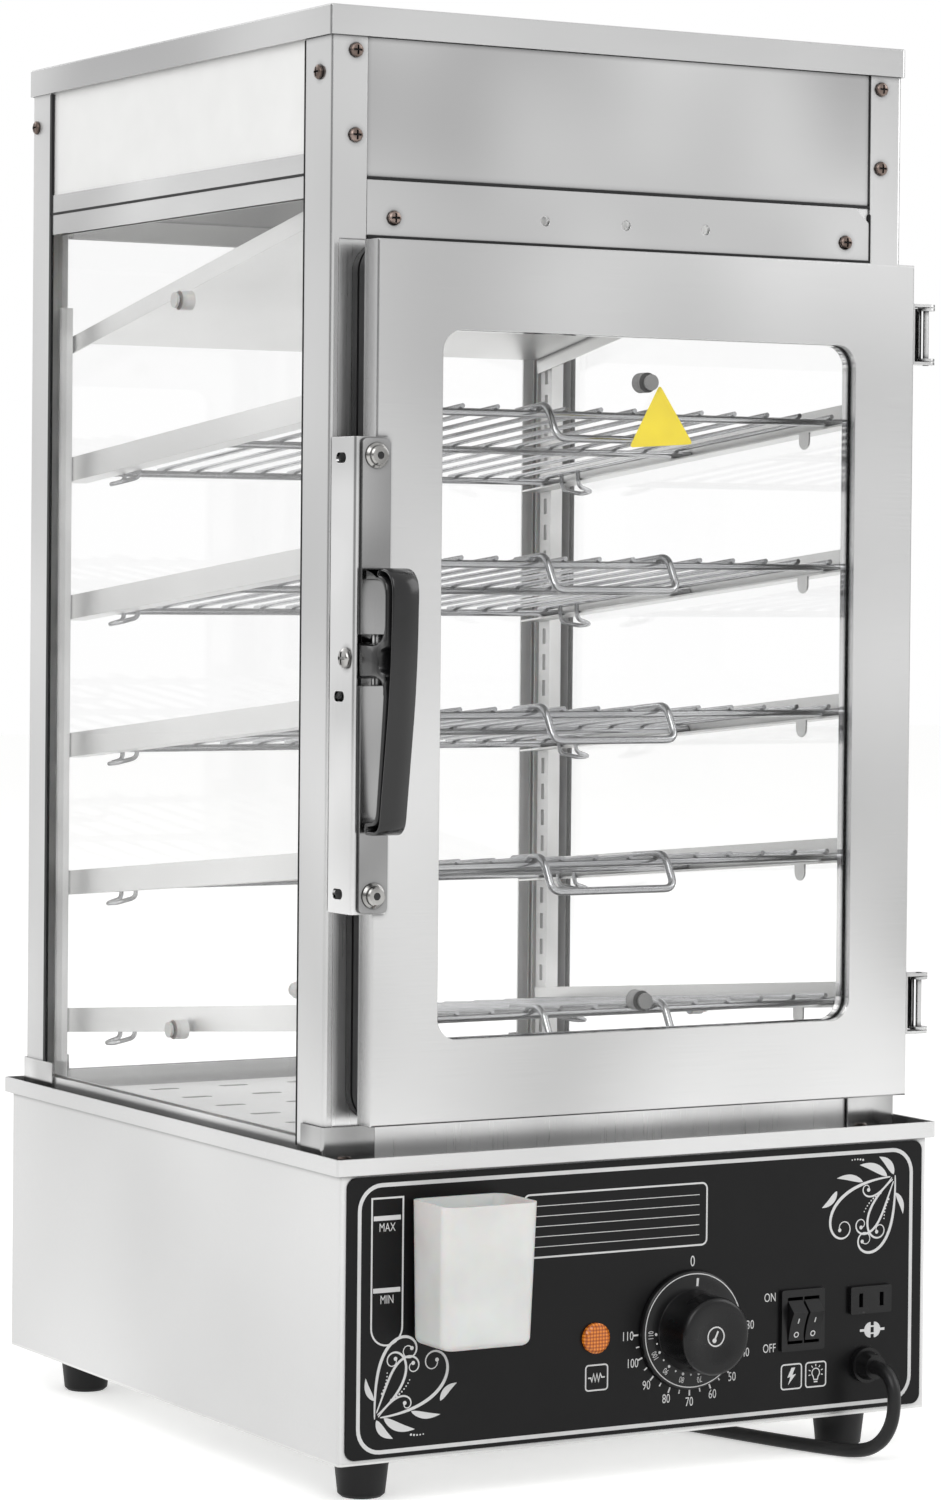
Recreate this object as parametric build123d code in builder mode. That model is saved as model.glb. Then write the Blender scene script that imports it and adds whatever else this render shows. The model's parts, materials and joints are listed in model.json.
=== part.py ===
"""Commercial food steamer: a glazed cabinet with five wire shelves on a heated water base.

The door hinges on the right and closes with a spring lever latch on the left. Millimetres,
+X to the right seen from the front, -Y to the front, +Z up. The origin is on the floor,
midway between the front of the filler cup and the mouth of the drain valve.
"""
import os
from math import atan, copysign, cos, pi, radians, sin, sqrt, tan

from build123d import *

os.makedirs("parts", exist_ok=True)

# Sheet, gaps and fits
case_sheet = 1.2
inner_sheet = 1.0
bend_radius = 2.0
seat_gap = 0.2
run_gap = 0.3
shaft_gap = 0.06

# Base
base_width = 341.0
base_depth = 382.0
base_height = 139.0
foot_height = 22.0
foot_top_radius = 14.0
foot_tip_radius = 11.5
foot_inset_x = 30.5
foot_inset_y = 33.0
shell_flange = 16.0
pan_flange = 12.0
vent_length = 60.0
vent_width = 5.0
vent_pitch = 18.0
vent_count = 7

# Rim tray and water tank
rim_overhang = 3.5
rim_height = 8.0
tank_width = 246.0
tank_depth = 262.0
tank_middle_y = 10.0
tank_bottom_z = 80.0
tank_corner = 12.0
tank_lip = 12.0
steam_plate_margin = 19.0
steam_plate_rise = 2.4
steam_hole_length = 18.0
steam_hole_width = 6.0
steam_hole_columns = 6
steam_hole_rows = 7
steam_hole_pitch_x = 42.0
steam_hole_pitch_y = 40.0

# Cabinet frame
overall_height = 720.0
cabinet_side_inset = 4.0
cabinet_setback = 26.0
cabinet_rear_inset = 9.0
post_front_leg = 19.4
post_side_leg = 27.0
post_notch_leg = 4.6
rear_post_leg = 23.0
cover_flange = 14.5
header_height = 81.5
strip_drop = 112.0
strip_chamfer = 8.0
strip_hole_radius = 2.5
strip_hole_spacing = 46.9
strip_hole_drop = 98.5
jamb_side_width = 19.0
jamb_bottom_z = 196.0
jamb_drop = 126.0

# Glazing
glass_thickness = 4.0
seal_wall = 1.5
seal_cover = 8.0
rail_height = 11.0
rail_sheet = 1.0
glass_rail_drop = 80.0
opal_thickness = 3.0
bush_radius = 5.0
bush_length = 7.0
bush_inset = 52.0

# Ceiling baffle
baffle_drop = 86.0
baffle_slope = 10.6
baffle_side_gap = 17.5
baffle_lip = 8.0

# Shelf standards, brackets and shelves
standard_width = 12.0
standard_depth = 7.6
standard_drop = 130.0
lowest_shelf_room = 290.0
slot_height = 9.0
slot_width = 3.4
slots_per_level = 5
slots_of_fall = 2
shelf_count = 5
first_hook_z = 232.0
bracket_height = 13.0
bracket_ledge = 13.0
stop_tab_width = 9.0
stop_tab_drop = 9.0
rod_radius = 2.0
wire_radius = 1.25
wire_pitch = 20.0
wire_count = 15
shelf_front_inset = 26.0
shelf_end_room = 51.0
weld_sink = 0.35
pull_width = 71.6
pull_drop = 14.0
pull_reach = 17.0
pull_bend = 6.0
shelf_travel = 10.0

# Door
door_side_room = 21.0
door_centre_x = 2.0
door_bottom_z = 183.0
door_drop = 113.0
door_face_offset = 25.0
door_pan_depth = 13.5
window_side_border = 36.0
window_bottom_z = 223.0
window_top_border = 42.0
window_corner = 11.0
window_return = 3.0
gasket_width = 16.0
gasket_corner = 15.0
gasket_groove = 2.0
glass_lap = 12.0

# Hinges
hinge_pin_radius = 1.5
hinge_pin_offset_x = 11.5
hinge_pin_offset_y = 6.0
hinge_lug_reach = 4.5
hinge_height = 31.0
hinge_sheet = 1.5
upper_hinge_drop = 34.8
lower_hinge_z = 229.4
hinge_leaf_length = 36.0

# Latch
channel_sheet = 1.5
channel_bottom_z = 285.0
channel_top_z = 512.5
channel_depth = 23.5
channel_flange = 18.5
channel_bend = 2.4
channel_slot_length = 10.0
channel_slot_width = 5.0
latch_plate_thickness = 2.0
latch_window_bottom_z = 394.0
latch_window_top_z = 418.5
pivot_y = -184.8
pivot_z = 407.0
pivot_radius = 2.5
lever_width = 14.0
lever_side_inset = 2.8
neck_relief = 1.2
lever_hub_radius = 4.5
nose_thickness = 3.0
nose_reach = 16.0
roller_radius = 3.0
roller_length = 3.9
roller_y = -174.5
keeper_height = 40.0
ear_thickness = 1.2
socket_screw_radius = 4.75
socket_screw_inset = 9.0

# Control panel
panel_side_margin = 3.5
panel_bottom_z = 24.5
panel_top_z = 159.5
panel_corner = 5.0
panel_thickness = 0.8
lamp_x = -28.4
controls_z = 73.0
lamp_radius = 7.5
lamp_barrel_radius = 6.0
lamp_barrel_length = 26.0
dial_x = 26.8
dial_radius = 29.6
dial_thickness = 3.2
grip_radius = 20.2
grip_length = 22.0
grip_flute_radius = 15.0
shaft_radius = 3.0
switch_x = 93.6
switch_width = 26.0
switch_height = 31.0
switch_cutout_width = 22.0
switch_cutout_height = 28.5
switch_bezel = 2.0
switch_body_depth = 22.0
rocker_width = 8.6
rocker_height = 23.0
rocker_spacing = 10.0
rocker_pin_radius = 1.0
outlet_x = 134.9
outlet_z = 80.3
outlet_width = 25.0
outlet_height = 14.0
outlet_cutout_width = 21.0
outlet_cutout_height = 11.0
outlet_slot_spacing = 12.7
gland_x = 132.8
gland_z = 47.0
gland_flange_radius = 9.0
gland_nose_length = 10.0
gland_nose_radius = 7.4
gland_tip_radius = 6.2
gland_hole_radius = 6.0

# Filler cup, filler pipe and drain valve
cup_left_x = -134.0
cup_right_x = -82.0
cup_bottom_z = 79.0
cup_top_z = 148.0
cup_reach = 38.0
cup_wall = 2.0
cup_taper = 3.0
cup_corner = 7.0
filler_x = -108.0
filler_z = 90.0
filler_radius = 7.0
drain_x = 100.0
drain_z = 92.0
drain_pipe_radius = 8.0
drain_body_radius = 12.0
drain_reach = 38.8
drain_spout_length = 14.0
drain_lever_length = 44.0
drain_lever_width = 12.0

# Heater, float and thermostat
heater_z = 96.0
heater_radius = 4.0
heater_spread = 60.0
heater_run = 190.0
heater_cold_end = 24.0
float_x = 96.0
float_y = 96.0
float_radius = 13.0
float_height = 16.0
float_rest_z = 112.0
float_travel = 18.0
guide_radius = 4.0
thermostat_width = 44.0
thermostat_height = 34.0
thermostat_depth = 30.0
probe_radius = 3.0
probe_length = 90.0
probe_z = 116.0

# Fasteners
screw_head_radius = 3.6
screw_head_height = 2.4
screw_shank_radius = 2.0
screw_length = 3.0
clip_height = 18.8
clip_front_leg = 29.0
clip_side_leg = 22.0
rear_clip_side_leg = 38.0
clip_foot_width = 20.0
clip_foot = 14.0
rear_clip_foot = 8.0

# Power cord
cord_diameter = 7.0
coil_x = -14.0
coil_y = 282.0
coil_outer_radius = 46.0
coil_pitch = 7.6
coil_layer_rise = 7.5
coil_half_turns = 4
coil_reversal_step = 1.2
plug_length = 32.0
plug_relief = 8.0
plug_run = 30.0
plug_width = 24.0
blade_length = 15.0
blade_spacing = 12.7

# Planes and places worked out from the sizes above
foot_spacing_x = base_width - 2 * foot_inset_x
foot_spacing_y = base_depth - 2 * foot_inset_y
panel_width = base_width - 2 * panel_side_margin
cabinet_width = base_width - 2 * cabinet_side_inset
cabinet_depth = base_depth - cabinet_setback - cabinet_rear_inset
header_bottom_z = overall_height - header_height
strip_bottom_z = overall_height - strip_drop
strip_hole_z = overall_height - strip_hole_drop
jamb_top_z = overall_height - jamb_drop
glass_rail_top_z = overall_height - glass_rail_drop
baffle_front_z = overall_height - baffle_drop
baffle_half_width = cabinet_width / 2 - baffle_side_gap
standard_top_z = overall_height - standard_drop
slot_pitch = (standard_top_z - lowest_shelf_room) / (slots_per_level * (shelf_count - 1))
shelf_length = cabinet_depth - shelf_end_room
door_width = cabinet_width - door_side_room
door_top_z = overall_height - door_drop
window_width = door_width - 2 * window_side_border
window_top_z = door_top_z - window_top_border
upper_hinge_z = door_top_z - upper_hinge_drop
shell_bottom_z = foot_height + case_sheet
base_top_z = foot_height + base_height
base_front_y = -base_depth / 2
base_back_y = base_depth / 2
panel_front_y = base_front_y - panel_thickness
wall_inner_y = base_front_y + case_sheet
tray_floor_z = base_top_z + case_sheet
rim_half_x = base_width / 2 + rim_overhang
rim_half_y = base_depth / 2 + rim_overhang
post_side_x = cabinet_width / 2
lever_left_x = -post_side_x + lever_side_inset
post_front_y = base_front_y + cabinet_setback
post_back_y = post_front_y + cabinet_depth
cabinet_middle_y = (post_front_y + post_back_y) / 2
post_bottom_z = tray_floor_z + seat_gap
post_top_z = overall_height - case_sheet - seat_gap
inner_side_x = post_side_x - case_sheet
header_front_y = post_front_y + case_sheet
jamb_back_y = header_front_y + case_sheet
header_back_y = post_back_y - case_sheet
seal_depth = glass_thickness + 2 * seal_wall
seal_outer_x = inner_side_x - run_gap
seal_inner_x = seal_outer_x - seal_depth
rear_seal_outer_y = header_back_y - run_gap
rear_seal_inner_y = rear_seal_outer_y - seal_depth
standard_outer_x = seal_inner_x - run_gap
standard_face_x = standard_outer_x - standard_depth
front_standard_y = jamb_back_y + run_gap + standard_width / 2 + 4.0
rear_standard_y = rear_seal_inner_y - run_gap - standard_width / 2 - 3.0
bracket_web_x = standard_face_x - seat_gap
bracket_angle = atan(slots_of_fall * slot_pitch / (rear_standard_y - front_standard_y))
door_face_y = post_front_y - door_face_offset
door_back_y = door_face_y + door_pan_depth
gasket_back_y = header_front_y - run_gap
door_left_x = door_centre_x - door_width / 2
door_right_x = door_centre_x + door_width / 2
door_middle_z = (door_bottom_z + door_top_z) / 2
door_height = door_top_z - door_bottom_z
window_middle_z = (window_bottom_z + window_top_z) / 2
window_height = window_top_z - window_bottom_z
door_glass_front_y = door_face_y + case_sheet + window_return
door_glass_back_y = door_glass_front_y + glass_thickness
pin_x = door_right_x + hinge_pin_offset_x
pin_y = door_face_y + hinge_pin_offset_y
tank_front_y = tank_middle_y - tank_depth / 2
tank_back_y = tank_middle_y + tank_depth / 2


def front_plane(y):
    """Sketch plane facing the front at depth y: its own x is X and its own y is Z."""
    return Plane.XZ.offset(-y)


def side_plane(x):
    """Sketch plane facing right at X = x: its own x is Y and its own y is Z."""
    return Plane.YZ.offset(x)


def angle_profile(corner_x, corner_y, leg_x, leg_y, thickness):
    """L section with its outer corner at the given point, and signed legs."""
    step_x = copysign(thickness, leg_x)
    step_y = copysign(thickness, leg_y)
    with BuildLine() as outline:
        Polyline(
            (corner_x, corner_y),
            (corner_x + leg_x, corner_y),
            (corner_x + leg_x, corner_y + step_y),
            (corner_x + step_x, corner_y + step_y),
            (corner_x + step_x, corner_y + leg_y),
            (corner_x, corner_y + leg_y),
            close=True,
        )
    make_face(outline.edges())
    fillet(vertices().sort_by_distance((corner_x, corner_y, 0))[0], bend_radius)


def panel_openings(margin=0.0, mode=Mode.ADD):
    """Openings that the base's front wall and the overlay have in common."""
    with Locations((lamp_x, controls_z)):
        Circle(lamp_barrel_radius + seat_gap + margin, mode=mode)
    with Locations((dial_x, controls_z)):
        Circle(shaft_radius + 2 * run_gap + margin, mode=mode)
    with Locations((switch_x, controls_z)):
        Rectangle(
            switch_cutout_width + 2 * seat_gap + margin,
            switch_cutout_height + 2 * seat_gap + margin,
            mode=mode,
        )
    with Locations((outlet_x, outlet_z)):
        Rectangle(
            outlet_cutout_width + 2 * seat_gap + margin,
            outlet_cutout_height + 2 * seat_gap + margin,
            mode=mode,
        )
    with Locations((gland_x, gland_z)):
        Circle(gland_hole_radius + seat_gap + margin, mode=mode)
    with Locations((filler_x, filler_z)):
        Circle(filler_radius + seat_gap + margin, mode=mode)


def bore(start, direction, radius, length, mode=Mode.SUBTRACT):
    """Round hole, or bar with mode ADD, from a point along a direction."""
    with BuildSketch(Plane(origin=start, z_dir=direction)) as outline:
        Circle(radius)
    extrude(outline.sketch, amount=length, mode=mode)


# Pan-head screw, made once along +Z with its seat at the origin
with BuildPart() as pan_head:
    Cylinder(screw_shank_radius, screw_length, align=(Align.CENTER, Align.CENTER, Align.MAX))
    Cylinder(screw_head_radius, screw_head_height, align=(Align.CENTER, Align.CENTER, Align.MIN))
    fillet(pan_head.edges().filter_by(GeomType.CIRCLE).group_by(Axis.Z)[-1], screw_head_height * 0.6)


# Screw places on the cabinet frame: (point on the seat, outward direction)
front_screw_z = (overall_height - 21.4, overall_height - 62.1)
side_screw_z = overall_height - 31.6
front_screw_x = post_side_x - 13.0
front_side_screw_y = post_front_y + 12.4
rear_side_screw_y = post_back_y - 6.5
strip_screw_x = 132.0
strip_screw_z = overall_height - 101.0
clip_screw_x = post_side_x - 15.0
front_screws = [
    ((side * front_screw_x, post_front_y, z), (0, -1, 0))
    for side in (-1, 1)
    for z in front_screw_z
]
rear_screws = [
    ((side * front_screw_x, post_back_y, z), (0, 1, 0))
    for side in (-1, 1)
    for z in front_screw_z
]
side_screws = [
    ((side * post_side_x, y, side_screw_z), (side, 0, 0))
    for side in (-1, 1)
    for y in (front_side_screw_y, rear_side_screw_y)
]
strip_screws = [
    ((side * strip_screw_x, post_front_y, strip_screw_z), (0, -1, 0)) for side in (-1, 1)
]
clip_screws = [
    ((side * clip_screw_x, y, tray_floor_z + case_sheet), (0, 0, 1))
    for side in (-1, 1)
    for y in (post_front_y - case_sheet - clip_foot / 2, post_back_y + case_sheet + rear_clip_foot / 2)
]
frame_screw_seats = front_screws + rear_screws + side_screws + strip_screws


def screw_holes(seats):
    """Clearance holes for the given screws through the sheet being built."""
    for seat, direction in seats:
        with BuildSketch(Plane(origin=seat, z_dir=direction)) as outline:
            Circle(screw_shank_radius + seat_gap / 2)
        extrude(outline.sketch, amount=screw_length + 1, both=True, mode=Mode.SUBTRACT)


# Base shell: folded wall with inward flanges along the top
with BuildPart() as base_shell:
    with BuildSketch(Plane.XY.offset(shell_bottom_z)):
        RectangleRounded(base_width, base_depth, bend_radius)
    extrude(amount=base_top_z - shell_bottom_z)
    with BuildSketch(Plane.XY.offset(shell_bottom_z)):
        Rectangle(base_width - 2 * case_sheet, base_depth - 2 * case_sheet)
    extrude(amount=base_top_z - case_sheet - shell_bottom_z, mode=Mode.SUBTRACT)
    with BuildSketch(Plane.XY.offset(base_top_z - case_sheet)):
        Rectangle(base_width - 2 * shell_flange, base_depth - 2 * shell_flange)
    extrude(amount=case_sheet, mode=Mode.SUBTRACT)
    with BuildSketch(front_plane(base_front_y)):
        panel_openings()
    extrude(amount=-case_sheet, mode=Mode.SUBTRACT)
    drain_hole_y = base_back_y - 2 * case_sheet
    bore((drain_x, drain_hole_y, drain_z), (0, 1, 0), drain_pipe_radius + seat_gap, 4 * case_sheet)
    screw_holes(clip_screws)
base_shell.part.label = "base_shell"
export_step(base_shell.part, "parts/base_shell.step")

# Bottom pan, with flanges that stand inside the shell and slots for cooling air
with BuildPart() as base_bottom:
    with BuildSketch(Plane.XY.offset(foot_height)):
        RectangleRounded(base_width, base_depth, bend_radius)
    extrude(amount=case_sheet)
    inside_width = base_width - 2 * (case_sheet + seat_gap)
    inside_depth = base_depth - 2 * (case_sheet + seat_gap)
    with BuildSketch(Plane.XY.offset(shell_bottom_z)):
        Rectangle(inside_width, inside_depth)
        Rectangle(inside_width - 2 * case_sheet, inside_depth - 2 * case_sheet, mode=Mode.SUBTRACT)
    extrude(amount=pan_flange)
    with BuildSketch(Plane.XY.offset(foot_height)):
        with GridLocations(vent_pitch, foot_spacing_y / 2, vent_count, 2):
            Rectangle(vent_width, vent_length)
    extrude(amount=case_sheet, mode=Mode.SUBTRACT)
base_bottom.part.label = "base_bottom"
export_step(base_bottom.part, "parts/base_bottom.step")

# Rubber feet: tapered, with a recess for the fixing screw
with BuildPart() as feet:
    with GridLocations(foot_spacing_x, foot_spacing_y, 2, 2):
        Cone(foot_tip_radius, foot_top_radius, foot_height, align=(Align.CENTER, Align.CENTER, Align.MIN))
    chamfer(feet.edges().filter_by(GeomType.CIRCLE).group_by(Axis.Z)[0], 1.5)
    with GridLocations(foot_spacing_x, foot_spacing_y, 2, 2):
        Cylinder(
            screw_head_radius + 1,
            foot_height / 2,
            align=(Align.CENTER, Align.CENTER, Align.MIN),
            mode=Mode.SUBTRACT,
        )
feet.part.label = "feet"
export_step(feet.part, "parts/feet.step")

# Control panel overlay on the shell's front
with BuildPart() as control_panel:
    with BuildSketch(front_plane(base_front_y)):
        with Locations((0, (panel_bottom_z + panel_top_z) / 2)):
            RectangleRounded(panel_width, panel_top_z - panel_bottom_z, panel_corner)
        panel_openings(mode=Mode.SUBTRACT)
    extrude(amount=panel_thickness)
control_panel.part.label = "control_panel"
export_step(control_panel.part, "parts/control_panel.step")

# Rim tray: catches the condensate around the cabinet and carries the posts and the tank
with BuildPart() as rim_tray:
    with BuildSketch(Plane.XY.offset(base_top_z)):
        RectangleRounded(2 * rim_half_x, 2 * rim_half_y, bend_radius)
    extrude(amount=rim_height)
    with BuildSketch(Plane.XY.offset(tray_floor_z)):
        Rectangle(2 * (rim_half_x - case_sheet), 2 * (rim_half_y - case_sheet))
    extrude(amount=rim_height, mode=Mode.SUBTRACT)
    with BuildSketch(Plane.XY.offset(base_top_z)):
        with Locations((0, tank_middle_y)):
            RectangleRounded(tank_width + 2 * seat_gap, tank_depth + 2 * seat_gap, tank_corner)
    extrude(amount=case_sheet, mode=Mode.SUBTRACT)
    screw_holes(clip_screws)
rim_tray.part.label = "rim_tray"
export_step(rim_tray.part, "parts/rim_tray.step")

# Water tank: a drawn pan that hangs by its lip in the tray's opening
with BuildPart() as water_tank:
    with BuildSketch(Plane.XY.offset(tank_bottom_z)):
        with Locations((0, tank_middle_y)):
            RectangleRounded(tank_width, tank_depth, tank_corner)
    extrude(amount=tray_floor_z - tank_bottom_z)
    with BuildSketch(Plane.XY.offset(tray_floor_z)):
        with Locations((0, tank_middle_y)):
            RectangleRounded(tank_width + 2 * tank_lip, tank_depth + 2 * tank_lip, tank_corner)
    extrude(amount=inner_sheet)
    with BuildSketch(Plane.XY.offset(tank_bottom_z + inner_sheet)):
        with Locations((0, tank_middle_y)):
            RectangleRounded(
                tank_width - 2 * inner_sheet, tank_depth - 2 * inner_sheet, tank_corner - inner_sheet
            )
    extrude(amount=tray_floor_z, mode=Mode.SUBTRACT)
    for leg_x in (-heater_spread / 2, heater_spread / 2):
        bore((leg_x, tank_front_y - 2, heater_z), (0, 1, 0), heater_radius + seat_gap / 2, 4 * inner_sheet)
    bore((dial_x + 37.7, tank_front_y - 2, probe_z), (0, 1, 0), probe_radius + seat_gap / 2, 4 * inner_sheet)
    bore((filler_x, tank_front_y - 2, filler_z), (0, 1, 0), filler_radius + seat_gap / 2, 4 * inner_sheet)
    bore((drain_x, tank_back_y - 2, drain_z), (0, 1, 0), drain_pipe_radius + seat_gap / 2, 4 * inner_sheet)
water_tank.part.label = "water_tank"
export_step(water_tank.part, "parts/water_tank.step")

# Steam plate: a lift-out cover over the tank, with rows of oval holes
lip_top_z = tray_floor_z + inner_sheet
with BuildPart() as steam_plate:
    plate_width = tank_width + 2 * steam_plate_margin
    plate_depth = tank_depth + 2 * tank_lip
    with BuildSketch(Plane.XY.offset(lip_top_z)):
        with Locations((0, tank_middle_y)):
            RectangleRounded(plate_width, plate_depth, tank_corner)
    extrude(amount=steam_plate_rise)
    with BuildSketch(Plane.XY.offset(lip_top_z)):
        with Locations((0, tank_middle_y)):
            RectangleRounded(
                plate_width - 2 * steam_plate_margin,
                plate_depth - 2 * inner_sheet,
                tank_corner - inner_sheet,
            )
    extrude(amount=steam_plate_rise - inner_sheet, mode=Mode.SUBTRACT)
    with BuildSketch(Plane.XY.offset(lip_top_z)):
        with Locations((0, tank_middle_y)):
            with GridLocations(steam_hole_pitch_x, steam_hole_pitch_y, steam_hole_columns, steam_hole_rows):
                SlotOverall(steam_hole_length, steam_hole_width)
    extrude(amount=steam_plate_rise, mode=Mode.SUBTRACT)
steam_plate.part.label = "steam_plate"
export_step(steam_plate.part, "parts/steam_plate.step")

# Front posts: folded angles, cut back beside the door
with BuildPart() as front_posts:
    with BuildSketch(Plane.XY.offset(post_bottom_z)):
        angle_profile(-post_side_x, post_front_y, post_front_leg, post_side_leg, case_sheet)
    extrude(amount=post_top_z - post_bottom_z)
    with BuildSketch(front_plane(post_front_y)):
        with Locations((-post_side_x + post_notch_leg, strip_bottom_z)):
            Rectangle(post_front_leg, strip_bottom_z - post_bottom_z, align=(Align.MIN, Align.MAX))
    extrude(amount=-case_sheet, mode=Mode.SUBTRACT)
    mirror(about=Plane.YZ)
    screw_holes(front_screws + side_screws)
front_posts.part.label = "front_posts"
export_step(front_posts.part, "parts/front_posts.step")

# Rear posts
with BuildPart() as rear_posts:
    with BuildSketch(Plane.XY.offset(post_bottom_z)):
        angle_profile(-post_side_x, post_back_y, rear_post_leg, -rear_post_leg, case_sheet)
    extrude(amount=post_top_z - post_bottom_z)
    mirror(about=Plane.YZ)
    screw_holes(rear_screws + side_screws)
rear_posts.part.label = "rear_posts"
export_step(rear_posts.part, "parts/rear_posts.step")


def foot_clip(corner_y, direction_y, side_leg, foot_depth):
    """Angle clip around a post's foot, with a flange screwed to the tray."""
    corner_x = -post_side_x - case_sheet
    outer_y = corner_y - direction_y * case_sheet
    with BuildSketch(Plane.XY.offset(tray_floor_z)) as outline:
        angle_profile(corner_x, outer_y, clip_front_leg, direction_y * side_leg, case_sheet)
    extrude(outline.sketch, amount=clip_height)
    foot_y = outer_y - direction_y * foot_depth / 2
    with BuildSketch(Plane.XY.offset(tray_floor_z)) as outline:
        with Locations((-clip_screw_x, foot_y)):
            RectangleRounded(clip_foot_width, foot_depth, 1.5)
    extrude(outline.sketch, amount=case_sheet)


# Post clips: four angle feet with their screws' holes
with BuildPart() as post_clips:
    foot_clip(post_front_y, 1, clip_side_leg, clip_foot)
    foot_clip(post_back_y, -1, rear_clip_side_leg, rear_clip_foot)
    mirror(about=Plane.YZ)
    screw_holes(clip_screws)
post_clips.part.label = "post_clips"
export_step(post_clips.part, "parts/post_clips.step")

# Top cover: a folded lid over the posts
with BuildPart() as top_cover:
    cover_width = cabinet_width + 2 * (case_sheet + run_gap)
    cover_depth = cabinet_depth + 2 * (case_sheet + run_gap)
    with BuildSketch(Plane.XY.offset(overall_height)):
        with Locations((0, cabinet_middle_y)):
            RectangleRounded(cover_width, cover_depth, bend_radius)
    extrude(amount=-cover_flange)
    chamfer(top_cover.edges().group_by(Axis.Z)[-1], 0.6)
    with BuildSketch(Plane.XY.offset(overall_height - case_sheet)):
        with Locations((0, cabinet_middle_y)):
            Rectangle(cover_width - 2 * case_sheet, cover_depth - 2 * case_sheet)
    extrude(amount=-cover_flange, mode=Mode.SUBTRACT)
top_cover.part.label = "top_cover"
export_step(top_cover.part, "parts/top_cover.step")

# Header panels: steel sheets between the posts, front and back
header_half_x = inner_side_x - seat_gap
with BuildPart() as header_panels:
    with BuildSketch(front_plane(header_front_y)):
        with Locations((0, header_bottom_z)):
            Rectangle(2 * header_half_x, post_top_z - header_bottom_z, align=(Align.CENTER, Align.MIN))
    extrude(amount=-case_sheet)
    with BuildSketch(front_plane(header_back_y)):
        with Locations((0, glass_rail_top_z + run_gap)):
            Rectangle(
                2 * header_half_x, post_top_z - glass_rail_top_z - run_gap, align=(Align.CENTER, Align.MIN)
            )
    extrude(amount=case_sheet)
    screw_holes(front_screws + rear_screws)
header_panels.part.label = "header_panels"
export_step(header_panels.part, "parts/header_panels.step")

# Vent strip over the door, flush with the posts
with BuildPart() as vent_strip:
    strip_half_x = post_side_x - post_front_leg - seat_gap
    strip_height = header_bottom_z - 1.5 - strip_bottom_z
    with BuildSketch(front_plane(header_front_y)):
        with Locations((0, strip_bottom_z)):
            Rectangle(2 * strip_half_x, strip_height, align=(Align.CENTER, Align.MIN))
        chamfer(vertices().group_by(Axis.Y)[-1].sort_by(Axis.X)[-1], strip_chamfer)
        with Locations((0, strip_hole_z)):
            with GridLocations(strip_hole_spacing, 1, 3, 1):
                Circle(strip_hole_radius, mode=Mode.SUBTRACT)
    extrude(amount=case_sheet)
    screw_holes(strip_screws)
vent_strip.part.label = "vent_strip"
export_step(vent_strip.part, "parts/vent_strip.step")

# Door jamb: the ring that the door's gasket closes on
with BuildPart() as door_jamb:
    jamb_low_z = post_bottom_z
    jamb_high_z = header_bottom_z - 0.5
    with BuildSketch(front_plane(header_front_y)):
        with Locations((0, jamb_low_z)):
            Rectangle(2 * header_half_x, jamb_high_z - jamb_low_z, align=(Align.CENTER, Align.MIN))
        with Locations((0, jamb_bottom_z)):
            Rectangle(
                2 * (header_half_x - jamb_side_width),
                jamb_top_z - jamb_bottom_z,
                align=(Align.CENTER, Align.MIN),
                mode=Mode.SUBTRACT,
            )
    extrude(amount=-case_sheet)
    with BuildSketch(front_plane(header_front_y)):
        with Locations((0, strip_hole_z)):
            with GridLocations(strip_hole_spacing, 1, 3, 1):
                Circle(strip_hole_radius)
    extrude(amount=-case_sheet, mode=Mode.SUBTRACT)
    screw_holes(strip_screws)
door_jamb.part.label = "door_jamb"
export_step(door_jamb.part, "parts/door_jamb.step")

# Opal side headers: the light box's windows
opal_bottom_z = glass_rail_top_z + run_gap + rail_sheet + run_gap
opal_front_y = jamb_back_y + run_gap
opal_back_y = header_back_y - case_sheet - run_gap
with BuildPart() as side_headers:
    with BuildSketch(side_plane(-inner_side_x + run_gap)):
        with Locations((opal_front_y, opal_bottom_z)):
            Rectangle(opal_back_y - opal_front_y, post_top_z - opal_bottom_z, align=(Align.MIN, Align.MIN))
    extrude(amount=opal_thickness)
    mirror(about=Plane.YZ)
    screw_holes(side_screws)
side_headers.part.label = "side_headers"
export_step(side_headers.part, "parts/side_headers.step")

# Glass panes in the left, right and back walls
seal_bottom_z = tray_floor_z + seat_gap + rail_sheet + run_gap
seal_top_z = glass_rail_top_z - rail_sheet - run_gap
seal_front_y = jamb_back_y + run_gap
seal_back_y = rear_seal_inner_y - run_gap + seal_depth
rear_seal_half_x = seal_inner_x - run_gap
seal_middle_z = (seal_bottom_z + seal_top_z) / 2
seal_height = seal_top_z - seal_bottom_z
side_pane_middle_y = (seal_front_y + seal_back_y) / 2
side_pane_width = seal_back_y - seal_front_y - 2 * seal_wall
pane_height = seal_height - 2 * seal_wall
rear_pane_width = 2 * (rear_seal_half_x - seal_wall)
bush_upper_z = seal_top_z - bush_inset
bush_lower_z = seal_bottom_z + bush_inset - 4


def side_bush_holes(amount):
    """Holes for the two bushes at mid-width of a side pane."""
    with BuildSketch(side_plane(-seal_outer_x + seal_wall)) as outline:
        with Locations((cabinet_middle_y, bush_upper_z), (cabinet_middle_y, bush_lower_z)):
            Circle(screw_shank_radius + seat_gap / 2)
    extrude(outline.sketch, amount=amount, mode=Mode.SUBTRACT)


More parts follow.
